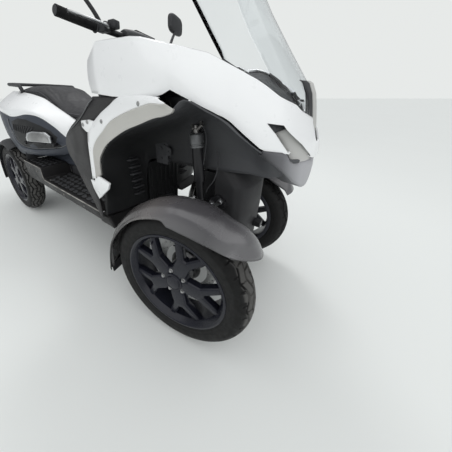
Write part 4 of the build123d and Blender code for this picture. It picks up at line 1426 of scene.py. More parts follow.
@dataclass
class Shield:
    """The dark cowl over the front carrier, with a chamfered shoulder."""

    levels: Points = ((272, 926, 106), (284, 936, 109), (330, 942, 110), (480, 950, 110), (572, 950, 110),
                      (576, 948, 110), (630, 908, 108), (635, 902, 105))

    def build(self, shop: Workshop) -> None:
        """Make the cowl with its rolled rear edge."""
        rows = []
        for z, front, half in self.levels:
            side = [(828, half - 4), (832, half), (860, half), (front - 56, half), (front - 44, half - 1.5),
                    (front - 36, half - 8)]
            nose = [(front - 36 + 36 * math.sin(a), (half - 8) * math.cos(a))
                    for a in (math.radians(d) for d in (12, 26, 42, 58, 74, 90))]
            left = [(x, y) for x, y in side + nose]
            row = left + [(x, -y) for x, y in reversed(left[:-1])]
            rows.append([Vector((x, y, z)) for x, y in row])
        shell = skin(rows)
        shop.piece("shield_shell", shell, "chassis", shop.finishes.shield, "black_plastic", ["front_shield"],
                   35, 4)
        lid = []
        for s in (-1, -0.7, -0.3, 0, 0.3, 0.7, 1):
            lid.append([Vector((835, s * 100, 622)), Vector((880, s * 100, 634)), Vector((912, s * 99, 636))])
        shop.piece("shield_lid", skin(lid), "chassis", shop.finishes.shield, "black_plastic", [], 35, 3)
        ribs = [crate((905, -100 + 25 * k, 300), (909, -97 + 25 * k, 560), 1) for k in range(9)]
        shop.piece("shield_ribs", merged(ribs), "chassis", shop.finishes.liner, "black_plastic")


@dataclass
class Liner:
    """The wheel wells' liners: walls, ceilings and backs in one flowing sheet."""

    # Each station: bottom, two middle points and the outer edge, on the left
    stations: Sequence[Points] = (
        ((1046, 98, 652), (1046, 102, 668), (1044, 118, 690), (1034, 162, 716)),
        ((1001, 112, 640), (1001, 122, 664), (1001, 146, 700), (1001, 198, 733)),
        ((953, 111, 638), (953, 114, 690), (953, 150, 744), (953, 239, 777)),
        ((919, 110, 634), (919, 112, 700), (919, 150, 774), (919, 262, 811)),
        ((879, 110, 630), (879, 112, 710), (879, 150, 800), (879, 278, 833)),
        ((830, 110, 626), (830, 112, 716), (830, 152, 820), (832, 300, 856)),
        ((780, 111, 624), (780, 114, 720), (784, 160, 816), (806, 322, 829)),
        ((700, 112, 622), (700, 116, 712), (705, 166, 780), (742, 324, 808)),
        ((610, 113, 618), (606, 122, 690), (606, 180, 744), (634, 324, 770)),
        ((536, 114, 616), (528, 126, 668), (528, 190, 710), (551, 324, 730)),
        ((492, 110, 590), (484, 132, 634), (480, 200, 668), (494, 324, 688)),
        ((474, 107, 520), (470, 150, 560), (468, 224, 606), (464, 324, 646)),
        ((471, 105, 450), (468, 160, 476), (462, 236, 530), (456, 324, 584)),
        ((470, 104, 400), (464, 170, 420), (456, 250, 450), (470, 324, 534)),
        ((470, 104, 396), (462, 176, 398), (452, 260, 402), (440, 318, 440)),
        ((470, 104, 394), (462, 180, 395), (450, 262, 396), (436, 316, 398)))

    def sheet(self) -> BMesh:
        """Build the left sheet."""
        fine = [smooth_line(row, 6) for row in self.stations]
        columns = [smooth_line([row[k] for row in fine], 4) for k in range(len(fine[0]))]
        return skin([[column[k] for column in columns] for k in range(len(columns[0]))])

    def build(self, shop: Workshop) -> None:
        """Make the liners with their louvres, bosses and the wall between them."""
        finish = shop.finishes
        shop.piece("liner_sheets", both(self.sheet()), "chassis", finish.liner, "black_plastic",
                   ["wheel_well_liner"], 60, 3)
        middle = [crate((470, -104, 290), (484, 104, 584), 3)]
        middle += [crate((482, y - 3, 300), (488, y + 3, 560), 2) for y in (-88, -58, -28, 2, 32, 62, 92)]
        middle += [crate((482, -98, z - 2), (486.5, 98, z + 2), 1.2) for z in (330, 400, 470, 540)]
        for y in (-110, 104):
            middle.append(plate([(470, y, 640), (470, y, 560), (484, y, 560), (484, y, 606), (520, y, 616),
                                 (700, y, 616), (740, y, 622), (832, y, 638)], (0, 6, 0), 1.2, 1))
        shop.piece("liner_wall", merged(middle), "chassis", finish.liner, "black_plastic", [], 30)
        slats = []
        for k in range(6):
            z = 452 + 32 * k
            y = 136 + 4 * k
            slats.append(plate([(474, y, z), (492, y + 4, z + 3), (492, y + 50, z + 5), (474, y + 56, z + 2)],
                               (-2, 0, 7), 2.2, 2))
            slats.append(crate((470, y + 6, z + 12), (476, y + 44, z + 16), 1.5))
        shop.piece("liner_louvres", both(merged(slats)), "chassis", finish.cowl, "black_plastic", [], 40)
        boss = [plate([(560, 116, 606), (620, 114, 606), (624, 114, 690), (602, 116, 700), (560, 120, 690)],
                      (0, 12, 0), 3, 2),
                plate([(606, 124, 640), (640, 122, 650), (640, 122, 676), (606, 124, 690)], (0, 9, 0), 2, 2),
                knob((590, 126, 672), (590, 134, 672), 7, 6, 1),
                knob((630, 124, 662), (630, 136, 662), 5, 14, 1),
                knob((630, 124, 628), (630, 136, 628), 5, 14, 1),
                knob((590, 126, 630), (590, 133, 630), 5, 14, 1)]
        shop.piece("liner_bosses", both(merged(boss)), "chassis", finish.cowl, "black_plastic", [], 35)


@dataclass
class ArchTrim:
    """The white hooked band round each well's back, with its inner flange painted grey as shade."""

    # Each station: outer edge, fold and inner edge, as x and z
    band: Sequence[Points] = (
        ((405, 561), (447, 576), (459, 585)), ((411, 616), (452, 622), (462, 622)),
        ((419, 696), (456, 664), (468, 650)), ((424, 728), (466, 694), (484, 674)),
        ((437, 762), (494, 726), (514, 704)), ((487, 793), (541, 760), (563, 736)),
        ((530, 818), (590, 794), (634, 771)), ((572, 838), (658, 820), (700, 794)),
        ((618, 861), (722, 838), (752, 812)), ((672, 866), (762, 847), (788, 820)),
        ((735, 866), (796, 846), (814, 829)), ((778, 861), (808, 848), (819, 837)))
    hook: Points = ((441, 485), (412, 520), (399, 558), (430, 555), (435, 583), (468, 583), (526, 572),
                    (513, 545))
    tab: Points = ((427, 746), (403, 760), (404, 783), (452, 789), (480, 786), (470, 760), (446, 744))

    def build(self, shop: Workshop) -> None:
        """Make both trims with their fasteners."""
        finish = shop.finishes
        fine = []
        for outer, fold, inner in self.band:
            a, b, c = (Vector((p[0], 0, p[1])) for p in (outer, fold, inner))
            row = [a + Vector((0, 322, 0)), a + (b - a) * 0.05 + Vector((0, 330, 0)),
                   a + (b - a) * 0.12 + Vector((0, 334, 0)), a.lerp(b, 0.5) + Vector((0, 337.5, 0)),
                   a.lerp(b, 0.93) + Vector((0, 340, 0)), b + Vector((0, 339.4, 0)),
                   b.lerp(c, 0.08) + Vector((0, 337.6, 0)), b.lerp(c, 0.5) + Vector((0, 331, 0)),
                   c + Vector((0, 325, 0)), c + Vector((-2, 318, -1))]
            fine.append(row)
        columns = [smooth_line([row[k] for row in fine], 4) for k in range(len(fine[0]))]
        outer = skin([[column[k] for column in columns[:6]] for k in range(len(columns[0]))])
        inner = skin([[column[k] for column in columns[5:]] for k in range(len(columns[0]))])
        hook = plate([(x, 328, z) for x, z in self.hook], (0, 9, 0), 2.2, 2)
        tab = plate([(x, 326, z) for x, z in self.tab], (0, 9, 0), 2.2, 2)
        shop.piece("arch_bands", both(outer), "chassis", finish.white, "white_paint", ["arch_trims"], 40, 2.5)
        # The flanges are white trim with painted shade on their inner face
        shop.piece("arch_flanges", both(inner), "chassis", finish.flange, "white_paint", [], 40, 2.5)
        shop.piece("arch_hooks", both(merged([hook, tab])), "chassis", finish.white, "white_paint", [], 35)
        bolts = [merged([knob((x, 334, z), (x, y, z), 7, 20, 1.2),
                         knob((x, y - 0.5, z), (x, y + 1.2, z), 3.4, 6)])
                 for x, z, y in ((718, 845, 340), (538, 789, 339.5), (447, 781, 337.5), (415, 770, 336.5))]
        shop.piece("arch_bolts", both(merged(bolts)), "chassis", finish.brushed, "brake_steel", [], 30)


@dataclass
class TiltCylinder:
    """A tilt cylinder beside each well's wall, with its collar, fittings and pipes."""

    y: float = 147

    def axis(self, z: float) -> Vector:
        """Give the cylinder's middle line at a height."""
        return Vector((800 - (z - 450) * 0.1055, self.y, z))

    def ring(self, shape: Points, steps: int = 40) -> BMesh:
        """Spin a profile of (height, radius) about the cylinder's line."""
        way = (self.axis(700) - self.axis(500)).normalized()
        turn = Vector((1, 0, 0)).rotation_difference(way).to_matrix().to_4x4()
        span = [((z - 450) / way.z, r) for z, r in shape]
        return moved(lathe(span, steps), Matrix.Translation(self.axis(450)) @ turn)

    def build(self, shop: Workshop) -> None:
        """Make both cylinders."""
        finish = shop.finishes
        tube_body = self.ring([(452, 0.01), (452, 13), (585, 13), (586, 18.4), (589, 19), (706, 19),
                               (707, 17),
                               (707, 0.01)])
        foot = merged([tube_body, self.ring([(450.5, 0.01), (450.5, 19), (462, 19), (466, 15), (466, 0.01)])])
        shop.piece("tilt_tubes", both(foot), "chassis", finish.steel, "black_steel", ["tilt_cylinders"], 30)
        collar = self.ring([(704, 0.01), (704, 20), (706, 22.5), (712, 23.4), (714, 21.6), (717, 21.6),
                            (719, 23.6),
                            (744, 23.6), (748, 22.4), (752, 18), (753, 0.01)])
        shop.piece("tilt_collars", both(collar), "chassis", finish.collar, "satin_alloy", [], 30)
        top = [self.ring([(752, 0.01), (752, 11), (764, 10), (766, 7), (776, 6.5), (777, 0.01)], 24),
               knob((758, self.y, 762), (742, self.y - 14, 776), 6, 14),
               knob((776, self.y + 4, 764), (800, self.y
                    + 14, 782), 5.5, 12), knob((796, self.y + 12, 778), (790, self.y + 8, 790), 6.5, 6),
               knob((745, self.y - 12, 770), (738, self.y - 14, 788), 5, 6)]
        shop.piece("tilt_fittings", both(merged(top)), "chassis", finish.exhaust, "exhaust_steel", [], 30)
        pipes = [tube([(801, self.y + 12, 776), (812, self.y + 9, 752), (810, self.y + 5, 720),
                       (806, self.y + 3, 690), (800, self.y + 1, 650)], 2.2, 8),
                 tube([(748, self.y - 12, 774), (744, self.y - 6, 748), (748, self.y - 2, 716),
                       (752, self.y, 680)], 2.0, 8),
                 tube(smooth_line([(838, 128, 700), (846, 132, 650), (838, 138, 600), (818, 142, 566),
                                   (812, 143, 548)], 5), 2.2, 8)]
        shop.piece("tilt_pipes", both(merged(pipes)), "chassis", finish.cowl, "black_plastic", [], 60)
        carrier = merged([crate((757, 118, 751), (785, 136, 769), 3),
                          knob((771, 132, 760), (771, 140, 760), 11, 6)])
        shop.piece("tilt_mounts", both(carrier), "chassis", finish.steel, "black_steel")
        ball = bmesh.new()
        bmesh.ops.create_uvsphere(ball, u_segments=20, v_segments=12, radius=9)
        moved(ball, Matrix.Translation((772, 158, 512)))
        joint = merged([ball, knob((772, 158, 470), (772, 158, 506), 6, 12),
                        knob((772, 158, 518), (772, 158, 526),
                                                                               7.5, 6)])
        shop.piece("ball_joints", both(joint), "chassis", finish.bright, "satin_alloy", [], 40)
        horn = [plate([(816, 126, 500), (848, 126, 490), (872, 126, 526), (862, 126, 534), (842, 126, 508),
                       (822, 126, 516)], (0, 8, 0), 1.5, 2),
                knob((864, 122, 520), (864, 138, 520), 7, 20), knob((832, 122, 504), (832, 138, 504), 4, 6)]
        shop.piece("hose_brackets", both(merged(horn)), "chassis", finish.alloy, "satin_alloy", [], 30)
        stay = [plate([(780, 112, 470), (850, 112, 470), (880, 112, 500), (880, 112, 520), (850, 112, 540),
                       (790, 112, 500)], (0, 14, 0), 3, 2)]
        shop.piece("hose_stays", both(merged(stay)), "chassis", finish.steel, "black_steel", [], 30)


class FrontBody(Assembly):
    """Everything of the body ahead of the rider's feet."""

    def build(self) -> None:
        """Make the front body part by part."""
        for part in (Nose(), Chin(), Shield(), Liner(), ArchTrim(), TiltCylinder()):
            part.build(self.shop)


WING_BACK = ((470, 861), (416, 824), (328, 776), (267, 740), (212, 693), (207, 639), (254, 578), (297, 507),
             (344, 447), (366, 414), (386, 388))
ARCH_BACK = ((618, 861), (558, 830), (487, 793), (440, 784), (404, 783), (403, 762), (427, 748), (419, 696),
             (411, 616), (405, 561), (395, 522), (402, 500), (415, 471), (424, 388))


class LegShield(Assembly):
    """The wall before the rider: outer wings, the facing wall and the dashboard."""

    def wing(self) -> BMesh:
        """Build the left wing's outer panel, rolled in along its rear edge."""
        rear = smooth_line([(x, 0, z) for x, z in WING_BACK], 4)
        front = [Vector((x, 0, z)) for x, z in ARCH_BACK]
        lengths = [0.0]
        for a, b in zip(front, front[1:]):
            lengths.append(lengths[-1] + (b - a).length)
        rows = []
        for k, back in enumerate(rear):
            at = lengths[-1] * k / (len(rear) - 1)
            ahead = Vector([between(list(zip(lengths, [p[i] for p in front])), at) for i in range(3)])
            way = (ahead - back).normalized()
            spread = (ahead - back).length
            rows.append([back + way * 3 + Vector((0, 284, 0)), back + way * 1 + Vector((0, 300, 0)),
                         back + way * 0 + Vector((0, 311, 0)), back + way * min(4, spread * 0.1)
                         + Vector((0, 317.5, 0)), back + way * min(10, spread * 0.2) + Vector((0, 321, 0)),
                         back + way * spread * 0.5 + Vector((0, 325, 0)), back + way * spread * 0.8
                         + Vector((0, 326, 0)), ahead + way * 4 + Vector((0, 326, 0))])
        return skin(rows)

    def build(self) -> None:
        """Make the leg shield's pieces."""
        shop, finish = self.shop, self.shop.finishes
        shop.piece("wing_panels", both(self.wing()), "chassis", finish.wall, "dark_plastic", ["leg_shield"],
                   40, 3)
        seam = [Vector((x, 324.2, z)) for x, z in ((290, 742), (345, 768), (400, 800), (452, 838),
                                                   (486, 856))]
        shop.piece("wing_seams", both(tube(smooth_line(seam, 4), 2.2, 6)), "chassis", finish.collar,
                   "dark_plastic", [], 60)
        wall = [crate((404, -282, 388), (426, 282, 862), 5)]
        for side in (-1, 1):
            for k in range(3):
                y = side * (70 + 66 * k)
                wall.append(crate((398, y - 24, 470), (405, y + 24, 820 - 20 * k), 3))
            wall.append(plate([(399, side * 268, 430), (399, side * 276, 700), (399, side * 240, 845),
                               (399, side * 256, 845), (399, side * 282, 700), (399, side * 282, 430)],
                              (5, 0, 0), 1.5, 1))
        wall.append(crate((396, -60, 640), (405, 60, 760), 3))
        wall.append(crate((392, -34, 790), (405, 34, 836), 3))
        shop.piece("shield_wall", merged(wall), "chassis", finish.cowl, "dark_plastic", [], 30)
        self.dash()

    def dash(self) -> None:
        """Make the dashboard with its gauges, lid and openings."""
        shop, finish = self.shop, self.shop.finishes
        profile = [(400, 862), (428, 862), (470, 866), (520, 870), (508, 912), (497, 956), (516, 980),
                   (534, 998),
                   (490, 1006), (442, 1010), (410, 990), (382, 962), (380, 948), (380, 890), (381, 862),
                   (390, 852)]
        rows = []
        for s in (-1, -0.985, -0.94, -0.6, -0.2, 0.2, 0.6, 0.94, 0.985, 1):
            grow = 1 - 0.035 * max(0, abs(s) - 0.9) * 10
            rows.append([Vector((450 + (x - 450) * grow, 240 * s, 930 + (z - 930) * grow)) for x,
                         z in profile])
        body = skin(rows, around=True, caps=True)
        piece = shop.piece("dash_body", body, "chassis", finish.cowl, "dark_plastic", [], 38)
        well = crate((360, 62, 869), (480, 218, 947), 3)
        column = knob((470, 0, 840), (400, 0, 1030), 30, 28, 0.1)
        shop.cut(piece, merged([well, column]))
        lid = [crate((374, 66, 885), (381, 214, 942), 3), crate((372.5, 76, 893), (375, 204, 934), 1.2),
               crate((366, 122, 922), (375, 158, 936), 3)]
        shop.piece("lid_face", merged(lid), "glovebox", finish.wall, "dark_plastic", ["glovebox_lid"], 30)
        shop.piece("lid_lip", knob((386, 67, 878), (386, 213, 878), 4.2, 14), "glovebox", finish.liner,
                   "black_plastic", [], 40)
        tray = [crate((372, -216, 884), (381, -64, 946), 4), crate((370.5, -206, 894), (373, -74, 936), 1.2),
                knob((374, -86, 915), (366, -86, 915), 9, 24, 2),
                knob((368, -86, 915), (365, -86, 915), 4, 6),
                knob((382, 0, 905), (374, 0, 905), 15, 32, 2), crate((371, -1.4, 896), (375, 1.4, 914), 0.5)]
        shop.piece("dash_panels", merged(tray), "chassis", finish.wall, "dark_plastic", [], 30)
        hood = []
        for s in range(13):
            t = math.radians(180 * s / 12)
            y, lift = 118 * math.cos(t), 26 * math.sin(t)
            hood.append([Vector((430, y, 996)), Vector((428, y, 1004 + lift * 0.8)),
                         Vector((446, y * 1.03, 1008
                         + lift)), Vector((500, y * 1.06, 1004 + lift)),
                         Vector((526, y * 1.04, 996 + lift * 0.7)),
                         Vector((530, y, 994))])
        shop.piece("gauge_hood", skin(hood), "chassis", finish.cowl, "dark_plastic", [], 50, 3)
        dial = [lathe([(0, 0.01), (0, 37), (3, 39), (6, 39), (6, 34), (3, 33), (3, 0.01)],
                      40) for _ in range(2)]
        tilt = Matrix.Rotation(math.radians(-128), 4, "Y")
        faces = [moved(bm, Matrix.Translation((441, y, 1008)) @ tilt) for bm, y in zip(dial, (-62, 62))]
        screen = moved(crate((-1, -20, -24), (5, 20, 24), 3), Matrix.Translation((440, 0, 1008)) @ tilt)
        shop.piece("gauge_faces", merged([*faces, screen]), "chassis", finish.liner, "black_plastic", [], 35)
        marks = []
        for y in (-62, 62):
            for k in range(11):
                a = math.radians(210 - 24 * k)
                spot = moved(crate((3, -1, 25), (4.2, 1, 31), 0), Matrix.Rotation(a, 4, "X"))
                marks.append(moved(spot, Matrix.Translation((441, y, 1008)) @ tilt))
            needle = moved(crate((4, -1, -4), (5.4, 1, 24), 0.4), Matrix.Rotation(math.radians(150), 4, "X"))
            marks.append(moved(needle, Matrix.Translation((441, y, 1008)) @ tilt))
        shop.piece("gauge_marks", merged(marks), "chassis", finish.white, "white_paint")


class Floor(Assembly):
    """The floorboards: a pale upper edge for wear and a painted highlight, tread pads, the tunnel and its
    mats.
    """

    def pads(self) -> BMesh:
        """Lay the raised tread pattern on the left board."""
        parts = []
        for row in range(4):
            for k in range(14):
                x = 350 - 44 * k - (row % 2) * 22
                y = 180 + 34 * row
                if x < -194 or x > 360:
                    continue
                skew = 5 if (k + row) % 2 else -5
                shape = [(x - 17, y - 10 + skew), (x - 4, y - 13), (x + 17, y - 8 - skew), (x + 17, y + 5),
                         (x + 3, y + 12), (x - 17, y + 8)]
                parts.append(plate([(a, b, 393) for a, b in shape], (0, 0, 7), 2.0, 1, 4, -1.5))
        for row in range(4):
            for k in range(5):
                x, y = -262 - 46 * k, 184 + 32 * row
                parts.append(plate([(x - 16, y - 9, 463), (x + 12, y - 11, 463), (x + 16, y + 8, 463),
                                    (x - 12, y + 11, 463)], (0, 0, 6), 1.8, 1, 4, -1.5))
        return merged(parts)

    def board(self) -> BMesh:
        """Build the left board with its rounded outer edge."""
        top = [(476, 348), (444, 384.4), (380, 385), (376, 392), (330, 393), (60, 393), (-190, 393),
               (-214, 394),
               (-222, 402), (-228, 452), (-234, 462), (-246, 463), (-400, 463), (-490, 463), (-499, 458)]
        rows = []
        for x, z in top:
            base = 344 + max(0.0, (x - 380) * 0.02)
            rows.append([Vector((x, 150, base)), Vector((x, 150, z - 1)), Vector((x, 158, z)),
                         Vector((x, 250, z)),
                         Vector((x, 296, z)), Vector((x, 302, z + 2.4)), Vector((x, 308, z + 2.2)),
                         Vector((x, 313.5, z - 2)), Vector((x, 315, max(z - 10, base + 1))),
                         Vector((x, 312, max(base, z - 40))), Vector((x, 304, base))])
        return skin(rows, around=True, caps=True)

    def build(self) -> None:
        """Make the floor's pieces."""
        shop, finish = self.shop, self.shop.finishes
        shop.piece("boards", both(self.board()), "chassis", finish.tread, "dark_plastic", ["floorboards"], 30)
        shop.piece("board_pads", both(self.pads()), "chassis", finish.cowl, "dark_plastic", [], 30)
        # The pale line along the board's upper edge is wear and a painted highlight
        edge = [(x, 313.2, z + 0.4) for x, z in ((372, 391), (60, 391.5), (-190, 391.5), (-214, 393),
                                                 (-223, 404),
                                                 (-229, 452), (-236, 461.5), (-300, 462), (-496, 462))]
        shop.piece("board_edges", both(tube(edge, 2.4, 8)), "chassis", finish.worn, "dark_plastic", [], 60)
        tunnel = []
        for x, z in ((398, 450), (380, 452), (200, 452), (0, 452), (-190, 452), (-198, 448)):
            tunnel.append([Vector((x, s * y, zz)) for s, y,
                           zz in ((-1, 148, 346), (-1, 148, 400), (-1, 144, 436),
                           (-1, 134, z - 4), (-1, 112, z), (1, 0, z + 1.5), (1, 112, z), (1, 134, z - 4),
                           (1, 144, 436), (1, 148, 400), (1, 148, 346))])
        shop.piece("tunnel_cover", skin(tunnel, caps=False), "chassis", finish.cowl, "dark_plastic", [], 35,
                   3)
        extras = [crate((-150, -100, 451), (350, 100, 454.5), 2, 1)]
        for k in range(9):
            extras.append(crate((-130 + 52 * k, -84, 454), (-104 + 52 * k, 84, 456.5), 1.2, 1))
        shop.piece("tunnel_mat", merged(extras), "chassis", finish.tread, "dark_plastic", [], 30)
        bolts = []
        for x, y, z in ((-300, 315, 428), (30, 314, 372), (-60, 314, 372), (240, 314, 372), (-420, 315, 428)):
            bolts.append(merged([knob((x, y - 3, z), (x, y + 0.5, z), 6.5, 18, 1),
                                 knob((x, y, z), (x, y + 2.5, z), 3.6, 6, 0.5)]))
        for x, y in ((366, 170), (366, 290), (-180, 170), (-180, 290)):
            bolts.append(knob((x, y, 391), (x, y, 396), 7, 18, 1.2))
        shop.piece("board_bolts", both(merged(bolts)), "chassis", finish.exhaust, "exhaust_steel", [], 30)
        tags = [knob((398, 306, 394), (398, 306, 397), 4, 14)]
        shop.piece("board_studs", both(merged(tags)), "chassis", finish.white, "white_paint", [], 30)


class Sides(Assembly):
    """The white side panels, the slate panels below them and the footrests in their recess."""

    white: Sequence[Point] = ((35, 140, 694, 146, 700, 138, 706), (-69, 180, 635, 178, 690, 143, 741),
                              (-152, 211, 698, 205, 735, 150, 772), (-245, 241, 749, 236, 770, 156, 806),
                              (-348, 271, 762, 266, 790, 166, 846), (-472, 291, 745, 290, 790, 176, 868),
                              (-589, 298, 745, 297, 790, 176, 878), (-760, 284, 754, 282, 796, 160, 887),
                              (-930, 258, 766, 256, 800, 140, 894), (-1010, 200, 782, 196, 816, 118, 894),
                              (-1080, 118, 800, 116, 830, 86, 890))
    dark: Sequence[Point] = ((0, 140, 604, 150, 620, 150, 634), (-69, 170, 566, 188, 600, 180, 634),
                             (-152, 200, 552, 222, 620, 211, 697), (-245, 232, 545, 258, 640, 241, 748),
                             (-348, 262, 522, 288, 640, 271, 761), (-472, 285, 508, 305, 640, 291, 744),
                             (-589, 292, 506, 308, 640, 298, 744), (-700, 292, 574, 308, 650, 300, 744),
                             (-930, 240, 640, 262, 700, 258, 765))

    def wall(self, table: Sequence[Point], bow: float) -> BMesh:
        """Skin one side's wall through rows of x and three points, with rolled edges."""
        rows = []
        for x, low_y, low_z, mid_y, mid_z, top_y, top_z in table:
            low, mid, top = (Vector((x, y, z)) for y, z in ((low_y, low_z), (mid_y, mid_z), (top_y, top_z)))
            rows.append(smooth_line([low, low.lerp(mid, 0.5) + Vector((0, bow, 0)), mid,
                                     mid.lerp(top, 0.5) + Vector((0, bow, bow * 0.6)), top], 3))
        fine = [smooth_line([row[k] for row in rows], 4) for k in range(len(rows[0]))]
        out = [[column[k] for column in fine] for k in range(len(fine[0]))]
        return skin([[row[0] + Vector((0, -9, 2)), *row, row[-1] + Vector((0, -9, -1))] for row in out])

    def face(self, x: float, z: float) -> float:
        """Give how far out the slate wall lies at a place."""
        rows = sorted(self.dark)
        spots = []
        for row in rows:
            _, low_y, low_z, mid_y, mid_z, top_y, top_z = row
            part = (z - low_z) / (mid_z - low_z) if z < mid_z else (z - mid_z) / (top_z - mid_z)
            bow = 5 * math.sin(math.pi * min(1.0, max(0.0, part)))
            spots.append((row[0], between(((low_z, low_y), (mid_z, mid_y), (top_z, top_y)), z) + bow))
        return between(spots, x) + 4

    def build(self) -> None:
        """Make the side panels, recess, footrests and brackets."""
        shop, finish = self.shop, self.shop.finishes
        shop.piece("side_whites", both(self.wall(self.white, 4)), "chassis", finish.white, "white_paint",
                   ["side_panels"], 40, 3.5)
        shop.piece("side_slates", both(self.wall(self.dark, 5)), "chassis", finish.slate, "blue_grey_plastic",
                   ["lower_side_panels"], 40, 3.5)
        skirt = []
        for x, low_y, low_z, mid_y, mid_z, top_y, top_z in (
                (-66, 148, 453, 150, 500, 168, 572), (-110, 148, 453, 153, 500, 184, 564),
                (-152, 148, 453, 156, 500, 199, 558), (-190, 151, 453, 160, 500, 212, 553),
                (-215, 154, 453, 164, 500, 220.7, 552), (-232, 156, 464, 168, 500, 226.5, 551),
                (-290, 156, 464, 174, 498, 244, 540), (-348, 156, 464, 180, 495, 261, 527),
                (-410, 156, 464, 185, 493, 274, 520), (-470, 156, 464, 190, 490, 284, 513)):
            skirt.append(smooth_line([(x, low_y, low_z), (x, mid_y, mid_z), (x, top_y, top_z)], 5))
        shop.piece("side_skirts", both(skin(skirt)), "chassis", finish.slate, "blue_grey_plastic", [], 50, 3)
        ledge = ((-60, 612), (-121, 584), (-210, 570), (-299, 560), (-412, 557), (-470, 570), (-517, 592),
                 (-548, 640), (-575, 690), (-590, 722))
        rows, rims = [], []
        for k, (x, _, z) in enumerate(smooth_line([(x, 0, z) for x, z in ledge], 4)):
            out = min(10.0, 2.0 + 0.8 * k, 2.0 + 0.5 * (36 - k))
            rows.append([Vector((x, self.face(x, z) - 2, z + 1)),
                         Vector((x, self.face(x, z) + out * 0.8, z - 3)),
                         Vector((x, self.face(x, z) + out, z - 10)),
                         Vector((x, self.face(x, z - 30) + out, z - 32)),
                         Vector((x, self.face(x, z - 42) + out * 0.6, z - 42)),
                         Vector((x, self.face(x, z - 48) - 4, z - 48))])
            rims.append(Vector((x, self.face(x, z) + 2.5, z + 3)))
        shop.piece("side_ledges", both(skin(rows)), "chassis", finish.slate, "blue_grey_plastic", [], 50, 2.5)
        # A pale line along the ledge's top rim: a painted highlight
        shop.piece("side_rims", both(tube(rims, 2.6, 8)), "chassis", finish.collar, "dark_plastic", [], 60)
        # The recess is a thin dark sheet on the slate wall: painted shade in place of a sunk hollow
        loop = [(-444, 738), (-348, 734), (-289, 720), (-232, 704), (-175, 681), (-100, 640), (-121, 588),
                (-210, 574), (-299, 564), (-412, 561), (-470, 574), (-512, 596), (-522, 652), (-532, 712)]
        rings = []
        for grow in (1.0, 0.985, 0.8, 0.6, 0.4, 0.2, 0.01):
            ring = [(-330 + (x + 330) * grow, 655 + (z - 655) * grow) for x, z in loop]
            rings.append([Vector((x, self.face(x, z) + (2.6 if grow < 1 else -1), z)) for x, z in ring])
        shop.piece("side_recesses", both(skin(rings, around=True)), "chassis", finish.liner, "dark_plastic",
                   [], 50)
        ribs = []
        for k in range(10):
            x, low = -290 - 23 * k, -338 - 19 * k
            z, base = 692 + 0.8 * k, 646 + 2 * k
            ribs.append(tube([(low, self.face(low, base) + 3, base),
                              ((x + low) / 2, self.face((x + low) / 2, (z + base)
                        / 2) + 4.5, (z + base) / 2), (x, self.face(x, z) + 3, z)], 3.2, 8))
        shop.piece("side_ribs", both(merged(ribs)), "chassis", finish.cowl, "black_plastic", [], 30)
        stop = plate([(-492, 152, 464), (-492, 296, 464), (-492, 294, 520), (-492, 180, 512),
                      (-492, 152, 500)],
                     (5, 0, 0), 2, 2)
        shop.piece("side_stops", both(stop), "chassis", finish.cowl, "dark_plastic", [], 30)
        edge = []
        for x, y, z in ((-460, 289, 744), (-400, 280, 756), (-348, 270, 760), (-300, 257, 754),
                        (-245, 240, 746),
                        (-200, 228, 724), (-152, 211, 696), (-100, 192, 656), (-69, 181, 634)):
            edge.append(Vector((x, y + 1.5, z - 3)))
        shop.piece("side_edges", both(tube(smooth_line(edge, 3), 2.4, 8)), "chassis", finish.liner,
                   "black_plastic",
                   [], 60)
        self.rests()

    def rests(self) -> None:
        """Make the folded passenger footrests with a blank plate, and their lugs."""
        shop, finish = self.shop, self.shop.finishes
        turn = math.radians(180 - 19.6)
        place = Matrix.Translation((-240, 276, 604)) @ Matrix.Rotation(turn, 4, "Z")
        shape = [(-94, 8), (94, 8), (95, 30), (78, 58), (40, 68), (-62, 68), (-92, 46)]
        for side in Side:
            panel = plate([(a, -6.5, z) for a, z in shape], (0, 13, 0), 3.4, 3)
            inner = [(a * 0.84, 8 + (z - 8) * 0.8 + 5) for a, z in shape]
            pad = plate([(a, 6, z) for a, z in inner], (0, -14.6, 0), 1.6, 2)
            pin = merged([knob((-111, 0, 0), (111, 0, 0), 4.9, 16, 1),
                          crate((-46, -6.5, -4), (46, 6.5, 9), 2)])
            lugs = []
            for s in (-1, 1):
                lugs.append(crate((s * 108 - 6.8, -9.5, -9.5), (s * 108 + 6.8, 62, 9.5), 3))
                lugs.append(knob((s * 115, 0, 0), (s * 118, 0, 0), 6.5, 6, 0.8))
            made = [moved(bm, place) for bm in (panel, pad, pin, merged(lugs))]
            if side is Side.RIGHT:
                made = [mirrored(bm) for bm in made]
            body = f"footrest_{side.word}"
            shop.piece(f"{body}_plate", made[0], body, finish.alloy, "satin_alloy", [body], 30)
            shop.piece(f"{body}_pad", made[1], body, finish.brushed, "satin_alloy", [], 30)
            shop.piece(f"{body}_pin", made[2], body, finish.steel, "black_steel", [], 30)
            shop.piece(f"{body}_lugs", made[3], "chassis", finish.steel, "black_steel", ["footrest_brackets"]
                       if side is Side.RIGHT else [], 30)


